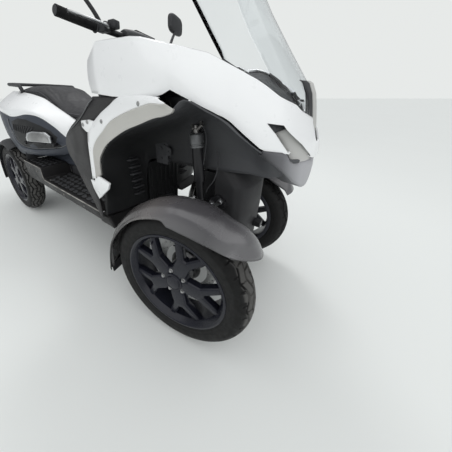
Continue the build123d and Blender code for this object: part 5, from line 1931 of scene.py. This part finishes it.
class Seat(Assembly):
    """The stepped, padded seat with its piping, its base and the cover in front of it."""

    plan: Points = ((-905, 100), (-890, 130), (-700, 148), (-472, 160), (-348, 150), (-245, 142), (-69, 128),
                    (35, 118), (86, 86), (99, 50))
    top: Points = ((-905, 892), (-860, 911), (-520, 914), (-400, 907), (-330, 871), (-250, 820), (-160, 784),
                   (-60, 781), (80, 776), (99, 758))
    foot: Points = ((-905, 864.3), (-890, 864.3), (-420, 846.3), (-320, 800.3), (-240, 756.3), (-69, 740.3),
                    (86, 734.3), (99, 736))

    def cushion(self, inset: float = 2.5) -> BMesh:
        """Build the cushion as rings along the seat, a little inside its CAD shape."""
        rows = []
        xs = [-902, -896, -884, -860, -820, -760, -690, -620, -560, -510, -465, -430, -400, -370, -345, -320,
              -295,
              -270, -245, -215, -180, -140, -95, -45, 5, 45, 70, 85, 92, 95]
        for x in xs:
            half = between(self.plan, x) - inset
            high, low = between(self.top, x) - inset, between(self.foot, x) + 0.5
            tall = high - low
            rows.append([Vector((x, half * u, low + tall * v)) for u, v in (
                (-0.90, 0), (-0.985, 0.12), (-1, 0.42), (-0.965, 0.72), (-0.86, 0.92), (-0.66, 0.99),
                (-0.34, 0.985),
                (0, 0.97), (0.34, 0.985), (0.66, 0.99), (0.86, 0.92), (0.965, 0.72), (1, 0.42), (0.985, 0.12),
                (0.90, 0), (0.45, 0), (0, 0), (-0.45, 0))])
        return skin(rows, around=True, caps=True)

    def soften(self, piece: Object) -> None:
        """Inflate the cushion with a short cloth run, held back near its first shape.

        Args:
            piece: The cushion.
        """
        scene = bpy.context.scene
        voxel = piece.modifiers.new("voxels", "REMESH")
        voxel.mode, voxel.voxel_size, voxel.use_smooth_shade = "VOXEL", SEAT_VOXEL, True
        graph = bpy.context.evaluated_depsgraph_get()
        piece.data = bpy.data.meshes.new_from_object(piece.evaluated_get(graph))
        piece.modifiers.clear()
        start = [v.co.copy() for v in piece.data.vertices]
        lowest = [between([(a, b) for a, b in self.foot], co.x * 1000) / 1000 for co in start]
        pins = piece.vertex_groups.new(name="sewn")
        for k, co in enumerate(start):
            if co.z < lowest[k] + SEWN_BAND:
                pins.add([k], 1.0, "REPLACE")
        cloth = piece.modifiers.new("cloth", "CLOTH")
        cloth.settings.quality = 4
        cloth.settings.mass = 0.3
        cloth.settings.tension_stiffness = cloth.settings.compression_stiffness = 12
        cloth.settings.bending_stiffness = 0.4
        cloth.settings.use_pressure = True
        cloth.settings.uniform_pressure_force = CLOTH_PRESSURE
        cloth.settings.effector_weights.gravity = 0
        cloth.settings.vertex_group_mass = "sewn"
        cloth.collision_settings.use_self_collision = False
        cloth.point_cache.frame_start, cloth.point_cache.frame_end = 1, CLOTH_FRAMES
        for step in range(1, CLOTH_FRAMES + 1):
            scene.frame_set(step)
        graph = bpy.context.evaluated_depsgraph_get()
        blown = bpy.data.meshes.new_from_object(piece.evaluated_get(graph))
        piece.modifiers.clear()
        for vert, first in zip(blown.vertices, start):
            way = vert.co - first
            if way.length > CLOTH_REACH:
                vert.co = first + way.normalized() * CLOTH_REACH
        piece.data = blown
        scene.frame_set(1)
        finer = piece.modifiers.new("finer", "SUBSURF")
        finer.levels = finer.render_levels = 1

    def build(self) -> None:
        """Make the seat's pieces."""
        shop, finish = self.shop, self.shop.finishes
        cushion = shop.piece("seat_pad", self.cushion(), "seat", finish.seat, "seat_cover", ["seat_cushion"],
                             180,
                             0, 0, 0)
        self.soften(cushion)
        for level, out in ((0.08, 0.8), (0.62, -1.0)):
            line = []
            for x in (-890, -860, -800, -700, -600, -500, -430, -380, -330, -280, -230, -160, -90, -20, 40,
                      76):
                half = between(self.plan, x)
                high, low = between(self.top, x), between(self.foot, x)
                line.append(Vector((x, half + out - (0.02 if level < 0.3 else 0.035) * half,
                                    low + (high - low) * level)))
            shop.piece(f"seat_piping_{int(level * 100)}", both(tube(smooth_line(line, 4), 1.7, 6)), "seat",
                       finish.thread, "seat_cover", [], 60)
        ribs = []
        for x in (-190, -150, -110, -70, -30, 10):
            ribs.append(tube([Vector((x + 10 * (1 - (y / 90) ** 2), y, between(self.top, x) - 3.2))
                              for y in range(-90, 91, 15)], 1.5, 6))
        for x in (-800, -740, -680, -620, -560, -500):
            ribs.append(tube([Vector((x + 12 * (1 - (y / 100) ** 2), y, between(self.top, x) - 3.2))
                              for y in range(-100, 101, 20)], 1.5, 6))
        shop.piece("seat_stitches", merged(ribs), "seat", finish.thread, "seat_cover", [], 60)
        base = [crate((62, -17, 705), (82, 17, 727), 2.5), knob((72, -38, 712), (72, 38, 712), 4.9, 16)]
        rows = []
        for x in (86, 60, 20, -69, -160, -240, -280, -320, -370, -420, -600, -760, -880, -892):
            half = between(self.plan, x) - 3
            low = between(((-892, 855), (-426, 836.5), (-316, 786.5), (-236, 746.5), (-69, 730.5),
                           (30, 726.5),
                           (86, 724.5)), x)
            high = between([(a, b) for a, b in self.foot], x) - 0.6
            rows.append([Vector((x, half * u, z)) for u,
                         z in ((-0.97, low), (-1, (low + high) / 2), (-0.985, high),
                         (0, high), (0.985, high), (1, (low + high) / 2), (0.97, low), (0, low))])
        base.append(skin(rows, around=True, caps=True))
        shop.piece("seat_pan", merged(base), "seat", finish.liner, "black_plastic", ["seat_base"], 35)
        self.front()

    def front(self) -> None:
        """Make the cover below the seat's nose and the inner flanks beside the seat."""
        shop, finish = self.shop, self.shop.finishes
        rows = []
        for x, z, half in ((39, 704, 96), (40, 690, 118), (36, 640, 128), (6, 584, 130), (-26, 520, 131),
                           (-60, 453, 131)):
            rows.append([Vector((x - 60, s * half, z)) if abs(s) == 1 else
                         Vector((x - 60 * max(0, abs(s) - 0.8) * 3.2, s * half, z))
                         for s in (-1, -0.97, -0.9, -0.75, -0.4, 0, 0.4, 0.75, 0.9, 0.97, 1)])
        shell = skin(rows)
        shop.piece("seat_skirt", shell, "chassis", finish.cowl, "dark_plastic", ["seat_front_cover"], 45, 3)
        cheeks = [plate([(-20, 125, 690), (-20, 125, 640), (-86, 125, 520), (-118, 125, 454),
                         (-194, 125, 454),
                         (-194, 125, 640), (-60, 125, 690)], (0, 6, 0), 1.5, 1)]
        for k in range(4):
            cheeks.append(plate([(-100 - 16 * k, 130, 500), (-94 - 16 * k, 130, 500),
                                 (-86 - 16 * k, 130, 600),
                                 (-92 - 16 * k, 130, 600)], (0, 2.5, 0), 0.8, 1))
        shop.piece("seat_cheeks", both(merged(cheeks)), "chassis", finish.cowl, "dark_plastic", [], 30)
        rows = []
        for x, out, z in ((60, 104, 714), (30, 134, 706), (-30, 140, 722), (-80, 144, 741), (-152, 150, 768),
                          (-245, 158, 800), (-348, 168, 838), (-472, 177, 862), (-589, 178, 874),
                          (-760, 166, 884),
                          (-900, 146, 890)):
            inner = between(Seat.plan, x) + 3
            drop = min(z - 20, between(self.foot, x) + 6)
            rows.append([Vector((x, out + 1, z - 3)), Vector((x, out - 3, z + 1)),
                         Vector((x, (out + inner) / 2, z
                         - 1)), Vector((x, inner, drop + 4)), Vector((x, inner - 1, drop - 14))])
        fine = [smooth_line([row[k] for row in rows], 3) for k in range(5)]
        bm = skin([[column[k] for column in fine] for k in range(len(fine[0]))])
        shop.piece("seat_flanks", both(bm), "chassis", finish.cowl, "black_plastic", [], 50, 2.5)
        lines = []
        for shift, sink in ((0.35, 1.5), (0.7, 1.5)):
            lines.append(tube([row[1].lerp(row[3], shift) + Vector((0, 0, sink)) for row in rows[1:-1]], 1.8,
                              6))
        shop.piece("seat_flank_lines", both(merged(lines)), "chassis", finish.slate, "blue_grey_plastic", [],
                   60)
        rim = [Vector((x, y, z)) for x, y, z in ((24, 112, 703), (-440, 112, 703), (-440, -112, 703),
                                                 (24, -112, 703), (24, 112, 703))]
        tub = [tube(rim, 4, 8)]
        for x in (-400, -320, -240, -160, -80):
            tub.append(crate((x - 3, -118, 486), (x + 3, 118, 491), 1))
        shop.piece("tub_rim", merged(tub), "chassis", finish.liner, "black_plastic", [], 40)


class Tail(Assembly):
    """The tail with its lamps, plate and grab rail."""

    def build(self) -> None:
        """Make the tail's pieces."""
        shop, finish = self.shop, self.shop.finishes
        rows = []
        for x, half, low, high in ((-912, 90, 790, 878), (-960, 86, 788, 879), (-1020, 80, 787, 878),
                                   (-1062, 73, 790, 872), (-1079, 62, 800, 862)):
            rows.append([Vector((x, half * u, low + (high - low) * v)) for u, v in (
                (-0.9, 0), (-1, 0.15), (-1, 0.7), (-0.9, 0.93), (-0.6, 1), (0, 1.02), (0.6, 1), (0.9, 0.93),
                (1, 0.7), (1, 0.15), (0.9, 0), (0, 0))])
        shop.piece("tail_shell", skin(rows, around=True, caps=True), "chassis", finish.cowl, "dark_plastic",
                   ["tail_fairing"], 35)
        lens = []
        for s in range(9):
            y = -54 + 13.5 * s
            dip = (y / 54) ** 2
            lens.append([Vector((-1081, y, 809)), Vector((-1090 + 3 * dip, y, 811)),
                         Vector((-1095 + 4 * dip, y,
                         820)), Vector((-1095.5 + 4 * dip, y, 838)), Vector((-1090 + 3 * dip, y, 848)),
                         Vector((-1081, y, 850))])
        shop.piece("tail_lens", skin(lens, around=True, caps=True), "chassis", finish.red, "red_lens",
                   ["tail_lamp"], 40)
        cells = [crate((-1096.6, -48 + 16.4 * k, 815), (-1093.4, -35 + 16.4 * k, 843), 1.2) for k in range(6)]
        shop.piece("tail_cells", merged(cells), "chassis", finish.ruby, "red_lens", [], 30)
        blink = []
        rows = []
        for x, y, z, r in ((-1040, 80, 836, 8), (-1050, 96, 838, 10), (-1054, 118, 840, 13),
                           (-1054, 136, 841, 11),
                           (-1052, 146, 842, 5)):
            rows.append([Vector((x - r * 0.7 * math.cos(a), y, z + r * math.sin(a)))
                         for a in (math.tau * k / 12 for k in range(12))])
        blink.append(skin(rows, around=True, caps=True))
        shop.piece("tail_blinkers", both(merged(blink)), "chassis", finish.amber, "red_lens", [], 50)
        holder = [crate((-1080, -14, 560), (-1068, 14, 788), 3),
                  crate((-1086, -18, 700), (-1066, 18, 724), 3),
                  plate([(-1079.6, y, z) for y, z in ((-99, 524), (-95, 520), (95, 520), (99, 524), (99, 686),
                        (95, 690), (-95, 690), (-99, 686))], (3.4, 0, 0), 0.8, 1)]
        piece = shop.piece("plate_frame", merged(holder), "chassis", finish.liner, "black_plastic",
                           ["plate_holder"], 30)
        drill = merged([knob((-1100, y, 640), (-1060, y, 640), 3.5, 16, 0.1) for y in (-75, 75)])
        shop.cut(piece, drill)
        blank = plate([(-1081.4, y, z) for y, z in ((-93, 530), (-89, 526), (89, 526), (93, 530), (93, 620),
                                                    (89, 624), (-89, 624), (-93, 620))], (1.4, 0, 0), 0.5, 1,
                                                    4, 0.6)
        shop.piece("plate_blank", blank, "chassis", finish.white, "white_paint", [], 30)
        lamp = [crate((-1092, -26, 694), (-1066, 26, 712), 4), crate((-1090, -20, 690), (-1072, 20, 695), 2)]
        shop.piece("plate_light", merged(lamp), "chassis", finish.cowl, "dark_plastic", [], 30)
        rail = [(-640, 172, 881.4), (-640, 173, 896), (-644, 177, 914), (-658, 178, 926), (-700, 176.5, 929),
                (-800, 172.5, 935), (-880, 169, 939), (-912, 160, 940.5), (-950, 134, 943),
                (-972, 118, 944.5),
                (-983, 96, 945), (-985, 60, 945)]
        line = rail + [(x, -y, z) for x, y, z in reversed(rail)]
        shop.piece("rail_bar", tube(smooth_line(line, 3), 12, 16), "chassis", finish.cowl, "satin_alloy",
                   ["grab_rail"], 50)
        feet = [merged([crate((-664, 160, 879), (-616, 184, 884), 2),
                        knob((-656, 172, 883), (-656, 172, 889), 5, 6),
                        knob((-624, 172, 883), (-624, 172, 889), 5, 6)])]
        shop.piece("rail_feet", both(merged(feet)), "chassis", finish.steel, "black_steel", [], 30)


class Drive(Assembly):
    """The engine's casing, the muffler, the shocks and the rear arms."""

    def build(self) -> None:
        """Make the drive's pieces."""
        shop, finish = self.shop, self.shop.finishes
        block = [crate((-596, -100, 278), (-266, 100, 474), 14, 3)]
        for k in range(9):
            block.append(crate((-590 + 36 * k, -108, 380), (-582 + 36 * k, 108, 470), 2))
        for s in (-1, 1):
            cover = []
            for j in range(28):
                a = math.tau * j / 28
                cover.append((-500 + 78 * math.cos(a) + (52 if math.cos(a) > 0 else 0), s * 100,
                              356 + 66 * math.sin(a)))
            block.append(plate(cover, (0, s * 16, 0), 3, 2, 8, -2))
            for j in range(8):
                a = math.tau * j / 8
                x, z = -486 + 88 * math.cos(a), 356 + 56 * math.sin(a)
                block.append(knob((x, s * 112, z), (x, s * 117.5, z), 5, 6, 0.6))
        shop.piece("engine_case", merged(block), "chassis", finish.engine, "engine_alloy", ["engine"], 30)
        can = [(-690, 0.01), (-690, 44), (-700, 55), (-712, 58.5), (-760, 59.5), (-990, 59.5), (-1024, 58),
               (-1036, 50), (-1044, 30), (-1044, 0.01)]
        slope = math.atan2(26, 355)
        way = Matrix.Translation((0, 0, 420 - 690 * math.tan(slope))) @ Matrix.Rotation(slope, 4, "Y")
        body = moved(lathe(can, 48), way)
        bands = [moved(lathe([(x, 58), (x, 61), (x - 3, 62), (x - 13, 62), (x - 16, 61), (x - 16, 58),
                              (x, 58)], 48),
                       way) for x in (-740, -980)]
        pipe = [knob((-600, 0, 410), (-696, 0, 412), 19.6, 24, 2)]
        tip = moved(lathe([(-1040, 17), (-1040, 24), (-1062, 24), (-1064, 21), (-1062, 18), (-1050, 17),
                           (-1040, 17)], 28), way)
        shop.piece("muffler_can", merged([body, *bands, *pipe, tip]), "chassis", finish.exhaust,
                   "exhaust_steel",
                   ["muffler"], 30)
        vents = []
        for k in range(10):
            for j in range(3):
                vents.append(moved(crate((-800 - 17 * k, -24 + 17 * j, 59),
                                         (-791 - 17 * k, -14 + 17 * j, 62.5), 1),
                                   way))
        shield = []
        for k in range(9):
            a = math.radians(48 + 10.5 * k)
            shield.append([Vector((x, 61.4 * math.cos(a), 61.4 * math.sin(a))) for x in (-772, -778, -870,
                                                                                         -962,
                                                                                         -968)])
        guard = moved(skin(shield), way)
        shop.piece("muffler_guard", guard, "chassis", finish.cowl, "black_plastic", [], 40, 2)
        shop.piece("muffler_vents", merged(vents), "chassis", finish.liner, "black_plastic", [], 30)
        shocks = []
        low, high = Vector((-745, 178, 292)), Vector((-735, 168, 596))
        for a, b, r in ((0, 0.2, 15), (0.16, 0.2, 26), (0.2, 0.62, 11), (0.62, 0.98, 17), (0.74, 0.78, 26),
                        (0.97, 1, 12)):
            shocks.append(knob(low.lerp(high, a), low.lerp(high, b), r, 24, 2))
        coil = []
        for k in range(131):
            t = 0.18 + 0.57 * k / 130
            a = math.tau * 8 * k / 130
            coil.append(low.lerp(high, t) + Vector((math.cos(a) * 21.5, math.sin(a) * 21.5, 0)))
        shop.piece("shock_bodies", both(merged(shocks)), "chassis", finish.steel, "black_steel",
                   ["rear_shocks"],
                   35)
        shop.piece("shock_springs", both(tube(coil, 4.2, 8)), "chassis", finish.worn, "satin_alloy", [], 60)
        arms = [crate((-650, -190, 232), (-622, 190, 268), 5)]
        for s in (-1, 1):
            arm = [(-864, 244), (-852, 240), (-690, 242), (-642, 248), (-640, 276), (-690, 290), (-760, 292),
                   (-850, 290), (-864, 284)]
            arms.append(plate([(x, s * 168, z) for x, z in arm], (0, s * 24, 0), 3, 2, 9, -3))
            arms.append(knob((-790, s * 181, 266), (-790, s * 219, 266), 24, 28, 2))
            arms.append(knob((-790, s * 219, 266), (-790, s * 309, 266), 11.8, 20, 1))
            arms.append(knob((-650, s * 192, 262), (-650, s * 199, 262), 13, 6, 1.5))
        shop.piece("rear_arm_castings", merged(arms), "chassis", finish.steel, "black_steel", ["rear_arms"],
                   30)
        guards = []
        for side in Side:
            corner = Corner("rear", side)
            bm = corner.placed(Mudguard(corner).build())
            guards.append(bm)
        shop.piece("rear_guards", merged(guards), "chassis", finish.cowl, "black_plastic", ["rear_mudguards"],
                   50,
                   3.5)
        stays = []
        for s in (-1, 1):
            stays.append(plate([(x, s * 195, z) for x,
                                z in ((-860, 248), (-840, 248), (-842, 400), (-846, 538),
                                                             (-858, 538), (-862, 400))], (0, s * 8, 0), 2, 2))
            stays.append(crate((-860, min(s * 195, s * 226), 532), (-841, max(s * 195, s * 226), 541), 2))
            stays.append(knob((-850, s * 202, 300), (-850, s * 207, 300), 6, 6, 0.8))
        shop.piece("rear_guard_stays", merged(stays), "chassis", finish.steel, "black_steel", [], 30)


class Controls(Assembly):
    """The handlebar with its cowl, grips, levers, switches and mirrors."""

    def __init__(self, shop: Workshop) -> None:
        """Keep the workshop that makes the pieces."""
        super().__init__(shop)
        lean = Vector((-math.sin(COLUMN_RAKE), 0, math.cos(COLUMN_RAKE)))
        foot = Matrix.Translation(COLUMN_FOOT)
        self.turn = foot @ Matrix.Rotation(STEER_REST, 4, lean) @ foot.inverted()

    def column(self, z: float) -> Vector:
        """Give the steering axis at a height."""
        return Vector((COLUMN_FOOT.x - (z - COLUMN_FOOT.z) * math.tan(COLUMN_RAKE), 0, z))

    def add(self, name: str, parts: Iterable[BMesh], material: Material, slot: str,
            replaces: Sequence[str] = (), crease: float = 35, wall: float = 0) -> None:
        """Make one piece that turns with the bar."""
        self.shop.piece(name, moved(merged(parts), self.turn), "steering", material, slot, replaces, crease,
                        wall)

    def build(self) -> None:
        """Make the controls' pieces."""
        finish = self.shop.finishes
        mid = self.column(1064)
        bar = [(350, -342, 1078), (352, -300, 1077), (360, -218, 1072.5), (374, -176, 1069),
               (389, -148, 1065),
               (mid.x + 4, -118, 1064), (mid.x + 4, 0, 1064)]
        line = bar + [(x, -y, z) for x, y, z in reversed(bar[:-1])]
        self.add("bar_tube", [tube(smooth_line(line, 3), 10.8, 14), knob(self.column(624), mid, 13.8, 24, 1)],
                 finish.steel, "black_steel", ["handlebar"])
        rows = []
        for y, wide, tall in ((-120, 22, 16), (-112, 30, 22), (-80, 37, 28), (-30, 39, 31), (30, 39, 31),
                              (80, 37, 28),
                              (112, 30, 22), (120, 22, 16)):
            rows.append([Vector((mid.x + 5 + wide * math.cos(a), y,
                                 1068 + tall * (math.sin(a) if math.sin(a) > 0
                         else math.sin(a) * 0.8))) for a in (math.tau * k / 20 for k in range(20))])
        self.add("bar_cowl", [skin(rows, around=True, caps=True)], finish.cowl, "dark_plastic", [], 40)
        trims = [crate((mid.x - 8, -60, 1097), (mid.x + 18, 60, 1101), 2), crate((mid.x - 30, -24, 1084),
                 (mid.x - 22, 24, 1094), 3), knob((mid.x - 10, -84, 1088), (mid.x - 10, -84, 1094), 6, 6),
                 knob((mid.x - 10, 84, 1088), (mid.x - 10, 84, 1094), 6, 6)]
        self.add("bar_trims", trims, finish.liner, "black_plastic")
        grips, ends = [], []
        for s in (-1, 1):
            a, b = Vector((362, s * 218, 1072)), Vector((350, s * 342, 1078))
            length = (b - a).length
            shape = []
            for k in range(63):
                r = 15.9 if k % 2 else 14.6
                shape.append((k / 62 * length, r if 2 < k < 60 else 15.9))
            turn = Vector((1, 0, 0)).rotation_difference((b - a).normalized()).to_matrix().to_4x4()
            profile = [(0, 10.5), *shape, (length, 10.5), (0, 10.5)]
            grips.append(moved(lathe(profile, 24), Matrix.Translation(a) @ turn))
            ends.append(knob(b, b + (b - a).normalized() * 3, 13.5, 20, 1.4))
            ends.append(knob(a - (b - a).normalized() * 4, a, 20, 24, 1.4))
        self.add("bar_grips", grips, finish.grip, "black_plastic", [], 20)
        self.add("bar_ends", ends, finish.cowl, "dark_plastic")
        levers, pods, buttons = [], [], []
        for s in (-1, 1):
            blade = [(404, s * 198, 1068), (416, s * 214, 1069), (414, s * 240, 1070), (404, s * 286, 1072),
                     (394, s * 322, 1074), (391, s * 332, 1074)]
            levers.append(tube(smooth_line(blade, 4), 5, 10,
                               lambda t: 1.15 - 0.35 * t + (0.35 if t > 0.93 else 0)))
            pods.append(crate((364, min(s * 188, s * 216), 1055), (408, max(s * 188, s * 216), 1083), 6, 3))
            pods.append(knob((392, s * 196, 1080), (392, s * 196, 1088), 8, 20))
            pods.append(crate((392, min(s * 160, s * 190), 1070), (424, max(s * 160, s * 190), 1096), 5, 2))
            for k in range(3):
                buttons.append(crate((362, min(s * (192 + 7 * k), s * (197 + 7 * k)), 1062),
                                     (366, max(s * (192 + 7 * k), s * (197 + 7 * k)), 1076), 1.4, 1))
            stalk = [(376, s * 202, 1080), (372, s * 226, 1112), (360, s * 270, 1160),
                     (352.8, s * 296.7, 1186),
                     (351, s * 306, 1200)]
            pods.append(tube(smooth_line(stalk, 4), 6, 12, lambda t: 1.25 - 0.3 * t))
        self.add("bar_levers", levers, finish.alloy, "satin_alloy", [], 50)
        self.add("bar_pods", pods, finish.cowl, "dark_plastic")
        self.add("bar_buttons", buttons, finish.red, "red_lens")
        shells, faces = [], []
        for s in (-1, 1):
            place = Matrix.Translation((346, s * 325, 1236)) @ Matrix.Rotation(math.radians(s * 4), 4, "Z")
            rows = []
            for x, grow in ((-12, 0.93), (-9, 0.985), (-3, 1), (4, 0.95), (9, 0.8), (12, 0.5), (12.4, 0.2)):
                ring = []
                for k in range(28):
                    a = math.tau * k / 28
                    c, d = math.cos(a), math.sin(a)
                    ring.append(Vector((x, 70 * grow * math.copysign(abs(c) ** 0.55, c),
                                        44 * grow * math.copysign(abs(d) ** 0.6, d))))
                rows.append(ring)
            shells.append(moved(skin(rows, around=True, caps=True), place))
            flat = []
            for grow in (0.9, 0.88, 0.5, 0.1):
                flat.append([Vector((-12.6 if grow > 0.89 else -13, p.y * grow,
                                     p.z * grow)) for p in rows[2]])
            faces.append(moved(skin(flat, around=True, caps=True), place))
            shells.append(moved(skin([[Vector((-11.5, p.y * g, p.z * g)) if k < 1 else Vector((-13.4, p.y * g,
                          p.z * g)) for p in rows[2]] for k, g in enumerate((0.97, 0.95, 0.9))], around=True),
                                place))
        self.add("mirror_shells", shells, finish.cowl, "dark_plastic", ["mirrors"], 50)
        self.add("mirror_faces", faces, finish.mirror, "satin_alloy", [], 50)


class Knuckles(Assembly):
    """The arms that hold the steered knuckles."""

    def build(self) -> None:
        """Make the suspension's pieces."""
        shop, finish = self.shop, self.shop.finishes
        arms = []
        for z in (205, 430):
            shape = [(802, 188), (848, 52), (846, 46), (734, 46), (732, 52), (758, 188)]
            arms.append(plate([(x, y, z + 0.5) for x, y in shape], (0, 0, 19), 2.5, 2, 12, -4))
            arms.append(knob((780, 190, z), (780, 190, z + 20), 21, 32, 2))
            for x in (748, 832):
                arms.append(knob((x, 62, z + 19), (x, 62, z + 25), 8, 6, 1))
        shop.piece("arm_castings", both(merged(arms)), "chassis", finish.steel, "black_steel", ["front_arms"],
                   30)


@dataclass
class Studio:
    """The pale floor, the lamps and the camera."""

    eye: Point = (1.137, -0.700, 0.865)
    yaw: float = 126.9
    pitch: float = -22.0
    lens: float = 16.07
    shift: tuple[float, float] = (0.0907, -0.1086)
    floor_colour: Point = (0.76, 0.78, 0.765)
    floor_size: float = 120
    floor_shade: float = 0.985
    glow: float = 0.42

    def floor(self) -> None:
        """Make the floor, pale to the camera and to reflections, and the world's light."""
        bm = bmesh.new()
        bmesh.ops.create_grid(bm, x_segments=8, y_segments=8, size=self.floor_size)
        mesh = bpy.data.meshes.new("floor")
        bm.to_mesh(mesh)
        bm.free()
        plane = bpy.data.objects.new("floor", mesh)
        bpy.context.scene.collection.objects.link(plane)
        shader = Shader("floor_pale")
        shader.colour(shader.ramp(shader.noise(0.6, 2),
                                  [(0.3, [c * self.floor_shade for c in self.floor_colour]),
                                                         (0.7, self.floor_colour)]))
        shader.plain(roughness=0.8)
        mesh.materials.append(shader.material)
        world = bpy.data.worlds.new("studio")
        bpy.context.scene.world = world
        world.use_nodes = True
        tree = world.node_tree
        back = tree.nodes["Background"]
        seen = tree.nodes.new("ShaderNodeBackground")
        back.inputs[0].default_value = (0.95, 0.98, 1.0, 1)
        back.inputs[1].default_value = self.glow
        seen.inputs[0].default_value = (0.80, 0.82, 0.81, 1)
        seen.inputs[1].default_value = 1.0
        path = tree.nodes.new("ShaderNodeLightPath")
        either = tree.nodes.new("ShaderNodeMath")
        either.operation = "MAXIMUM"
        tree.links.new(path.outputs["Is Camera Ray"], either.inputs[0])
        tree.links.new(path.outputs["Is Transmission Ray"], either.inputs[1])
        mix = tree.nodes.new("ShaderNodeMixShader")
        tree.links.new(either.outputs[0], mix.inputs[0])
        tree.links.new(back.outputs[0], mix.inputs[1])
        tree.links.new(seen.outputs[0], mix.inputs[2])
        tree.links.new(mix.outputs[0], tree.nodes["World Output"].inputs[0])

    def lamp(self, name: str, at: Point, towards: Point, size: float, power: float) -> None:
        """Hang one soft lamp.

        Args:
            name: Its name.
            at: Its place in metres.
            towards: The point that it faces.
            size: Its side in metres.
            power: Its power in watts.
        """
        data = bpy.data.lights.new(name, "AREA")
        data.shape, data.size, data.energy = "SQUARE", size, power
        lamp = bpy.data.objects.new(name, data)
        lamp.location = at
        lamp.rotation_mode = "QUATERNION"
        lamp.rotation_quaternion = (Vector(towards) - Vector(at)).to_track_quat("-Z", "Y")
        bpy.context.scene.collection.objects.link(lamp)

    def sun(self, name: str, way: Point, strength: float, spread: float) -> None:
        """Shine one soft light from far away.

        Args:
            name: Its name.
            way: The direction that it comes from.
            strength: Its strength.
            spread: The angle in degrees that it fills.
        """
        data = bpy.data.lights.new(name, "SUN")
        data.energy, data.angle = strength, math.radians(spread)
        lamp = bpy.data.objects.new(name, data)
        lamp.rotation_mode = "QUATERNION"
        lamp.rotation_quaternion = (-Vector(way)).to_track_quat("-Z", "Y")
        bpy.context.scene.collection.objects.link(lamp)

    def camera(self) -> None:
        """Make the camera at the photograph's place and angle."""
        data = bpy.data.cameras.new("camera")
        data.sensor_width, data.lens = 36, self.lens
        data.shift_x, data.shift_y = self.shift
        data.clip_start, data.clip_end = 0.02, 60
        camera = bpy.data.objects.new("camera", data)
        yaw, pitch = math.radians(self.yaw), math.radians(self.pitch)
        ahead = Vector((math.cos(pitch) * math.cos(yaw), math.cos(pitch) * math.sin(yaw), math.sin(pitch)))
        camera.location = self.eye
        camera.rotation_mode = "QUATERNION"
        camera.rotation_quaternion = ahead.to_track_quat("-Z", "Y")
        bpy.context.scene.collection.objects.link(camera)
        bpy.context.scene.camera = camera

    def build(self) -> None:
        """Set up the whole studio."""
        bpy.context.scene.view_settings.view_transform = "Standard"
        self.camera()
        self.floor()
        self.sun("sky", (0.75, -0.9, 2.3), 2.0, 112)
        self.lamp("back", (-0.5, 1.2, 2.9), (0.7, -0.3, 0.5), 0.8, 18)


def main() -> None:
    """Build the studio, give the CAD nodes their finishes, build every sub-assembly in order and log the
    number of pieces.
    """
    logging.basicConfig(level=logging.INFO, format="%(name)s: %(message)s")
    Studio().build()
    finishes = Finishes()
    shop = Workshop(finishes)
    shop.dress(finishes.steel, "frame", "front_arms", "rear_arms", "body_brackets", "front_left_knuckle",
               "front_right_knuckle", "tilt_cylinders", "handlebar")
    shop.dress(finishes.engine, "engine")
    shop.dress(finishes.exhaust, "muffler")
    shop.dress(finishes.cowl, "rear_shocks", "rear_mudguards", "tail_fairing", "storage_tub", "plate_holder",
               "mirrors", "seat_base", "seat_front_cover", "glovebox_lid")
    shop.dress(finishes.wall, "leg_shield", "front_shield")
    shop.dress(finishes.liner, "wheel_well_liner")
    shop.dress(finishes.tread, "floorboards")
    shop.dress(finishes.white, "nose_fairing", "side_panels", "arch_trims")
    shop.dress(finishes.slate, "lower_side_panels")
    shop.dress(finishes.chin, "chin")
    shop.dress(finishes.lens, "headlamps")
    shop.dress(finishes.screen, "windscreen")
    shop.dress(finishes.seat, "seat_cushion")
    shop.dress(finishes.red, "tail_lamp")
    shop.dress(finishes.alloy, "tie_rod", "grab_rail", "footrest_left", "footrest_right", "footrest_brackets")
    RunningGear(shop).build()
    FrontBody(shop).build()
    for part in (LegShield(shop), Floor(shop), Sides(shop), Seat(shop), Tail(shop), Drive(shop),
                 Controls(shop), Knuckles(shop)):
        part.build()
    log.info("%d pieces", shop.count)


if __name__ == "__main__":
    main()
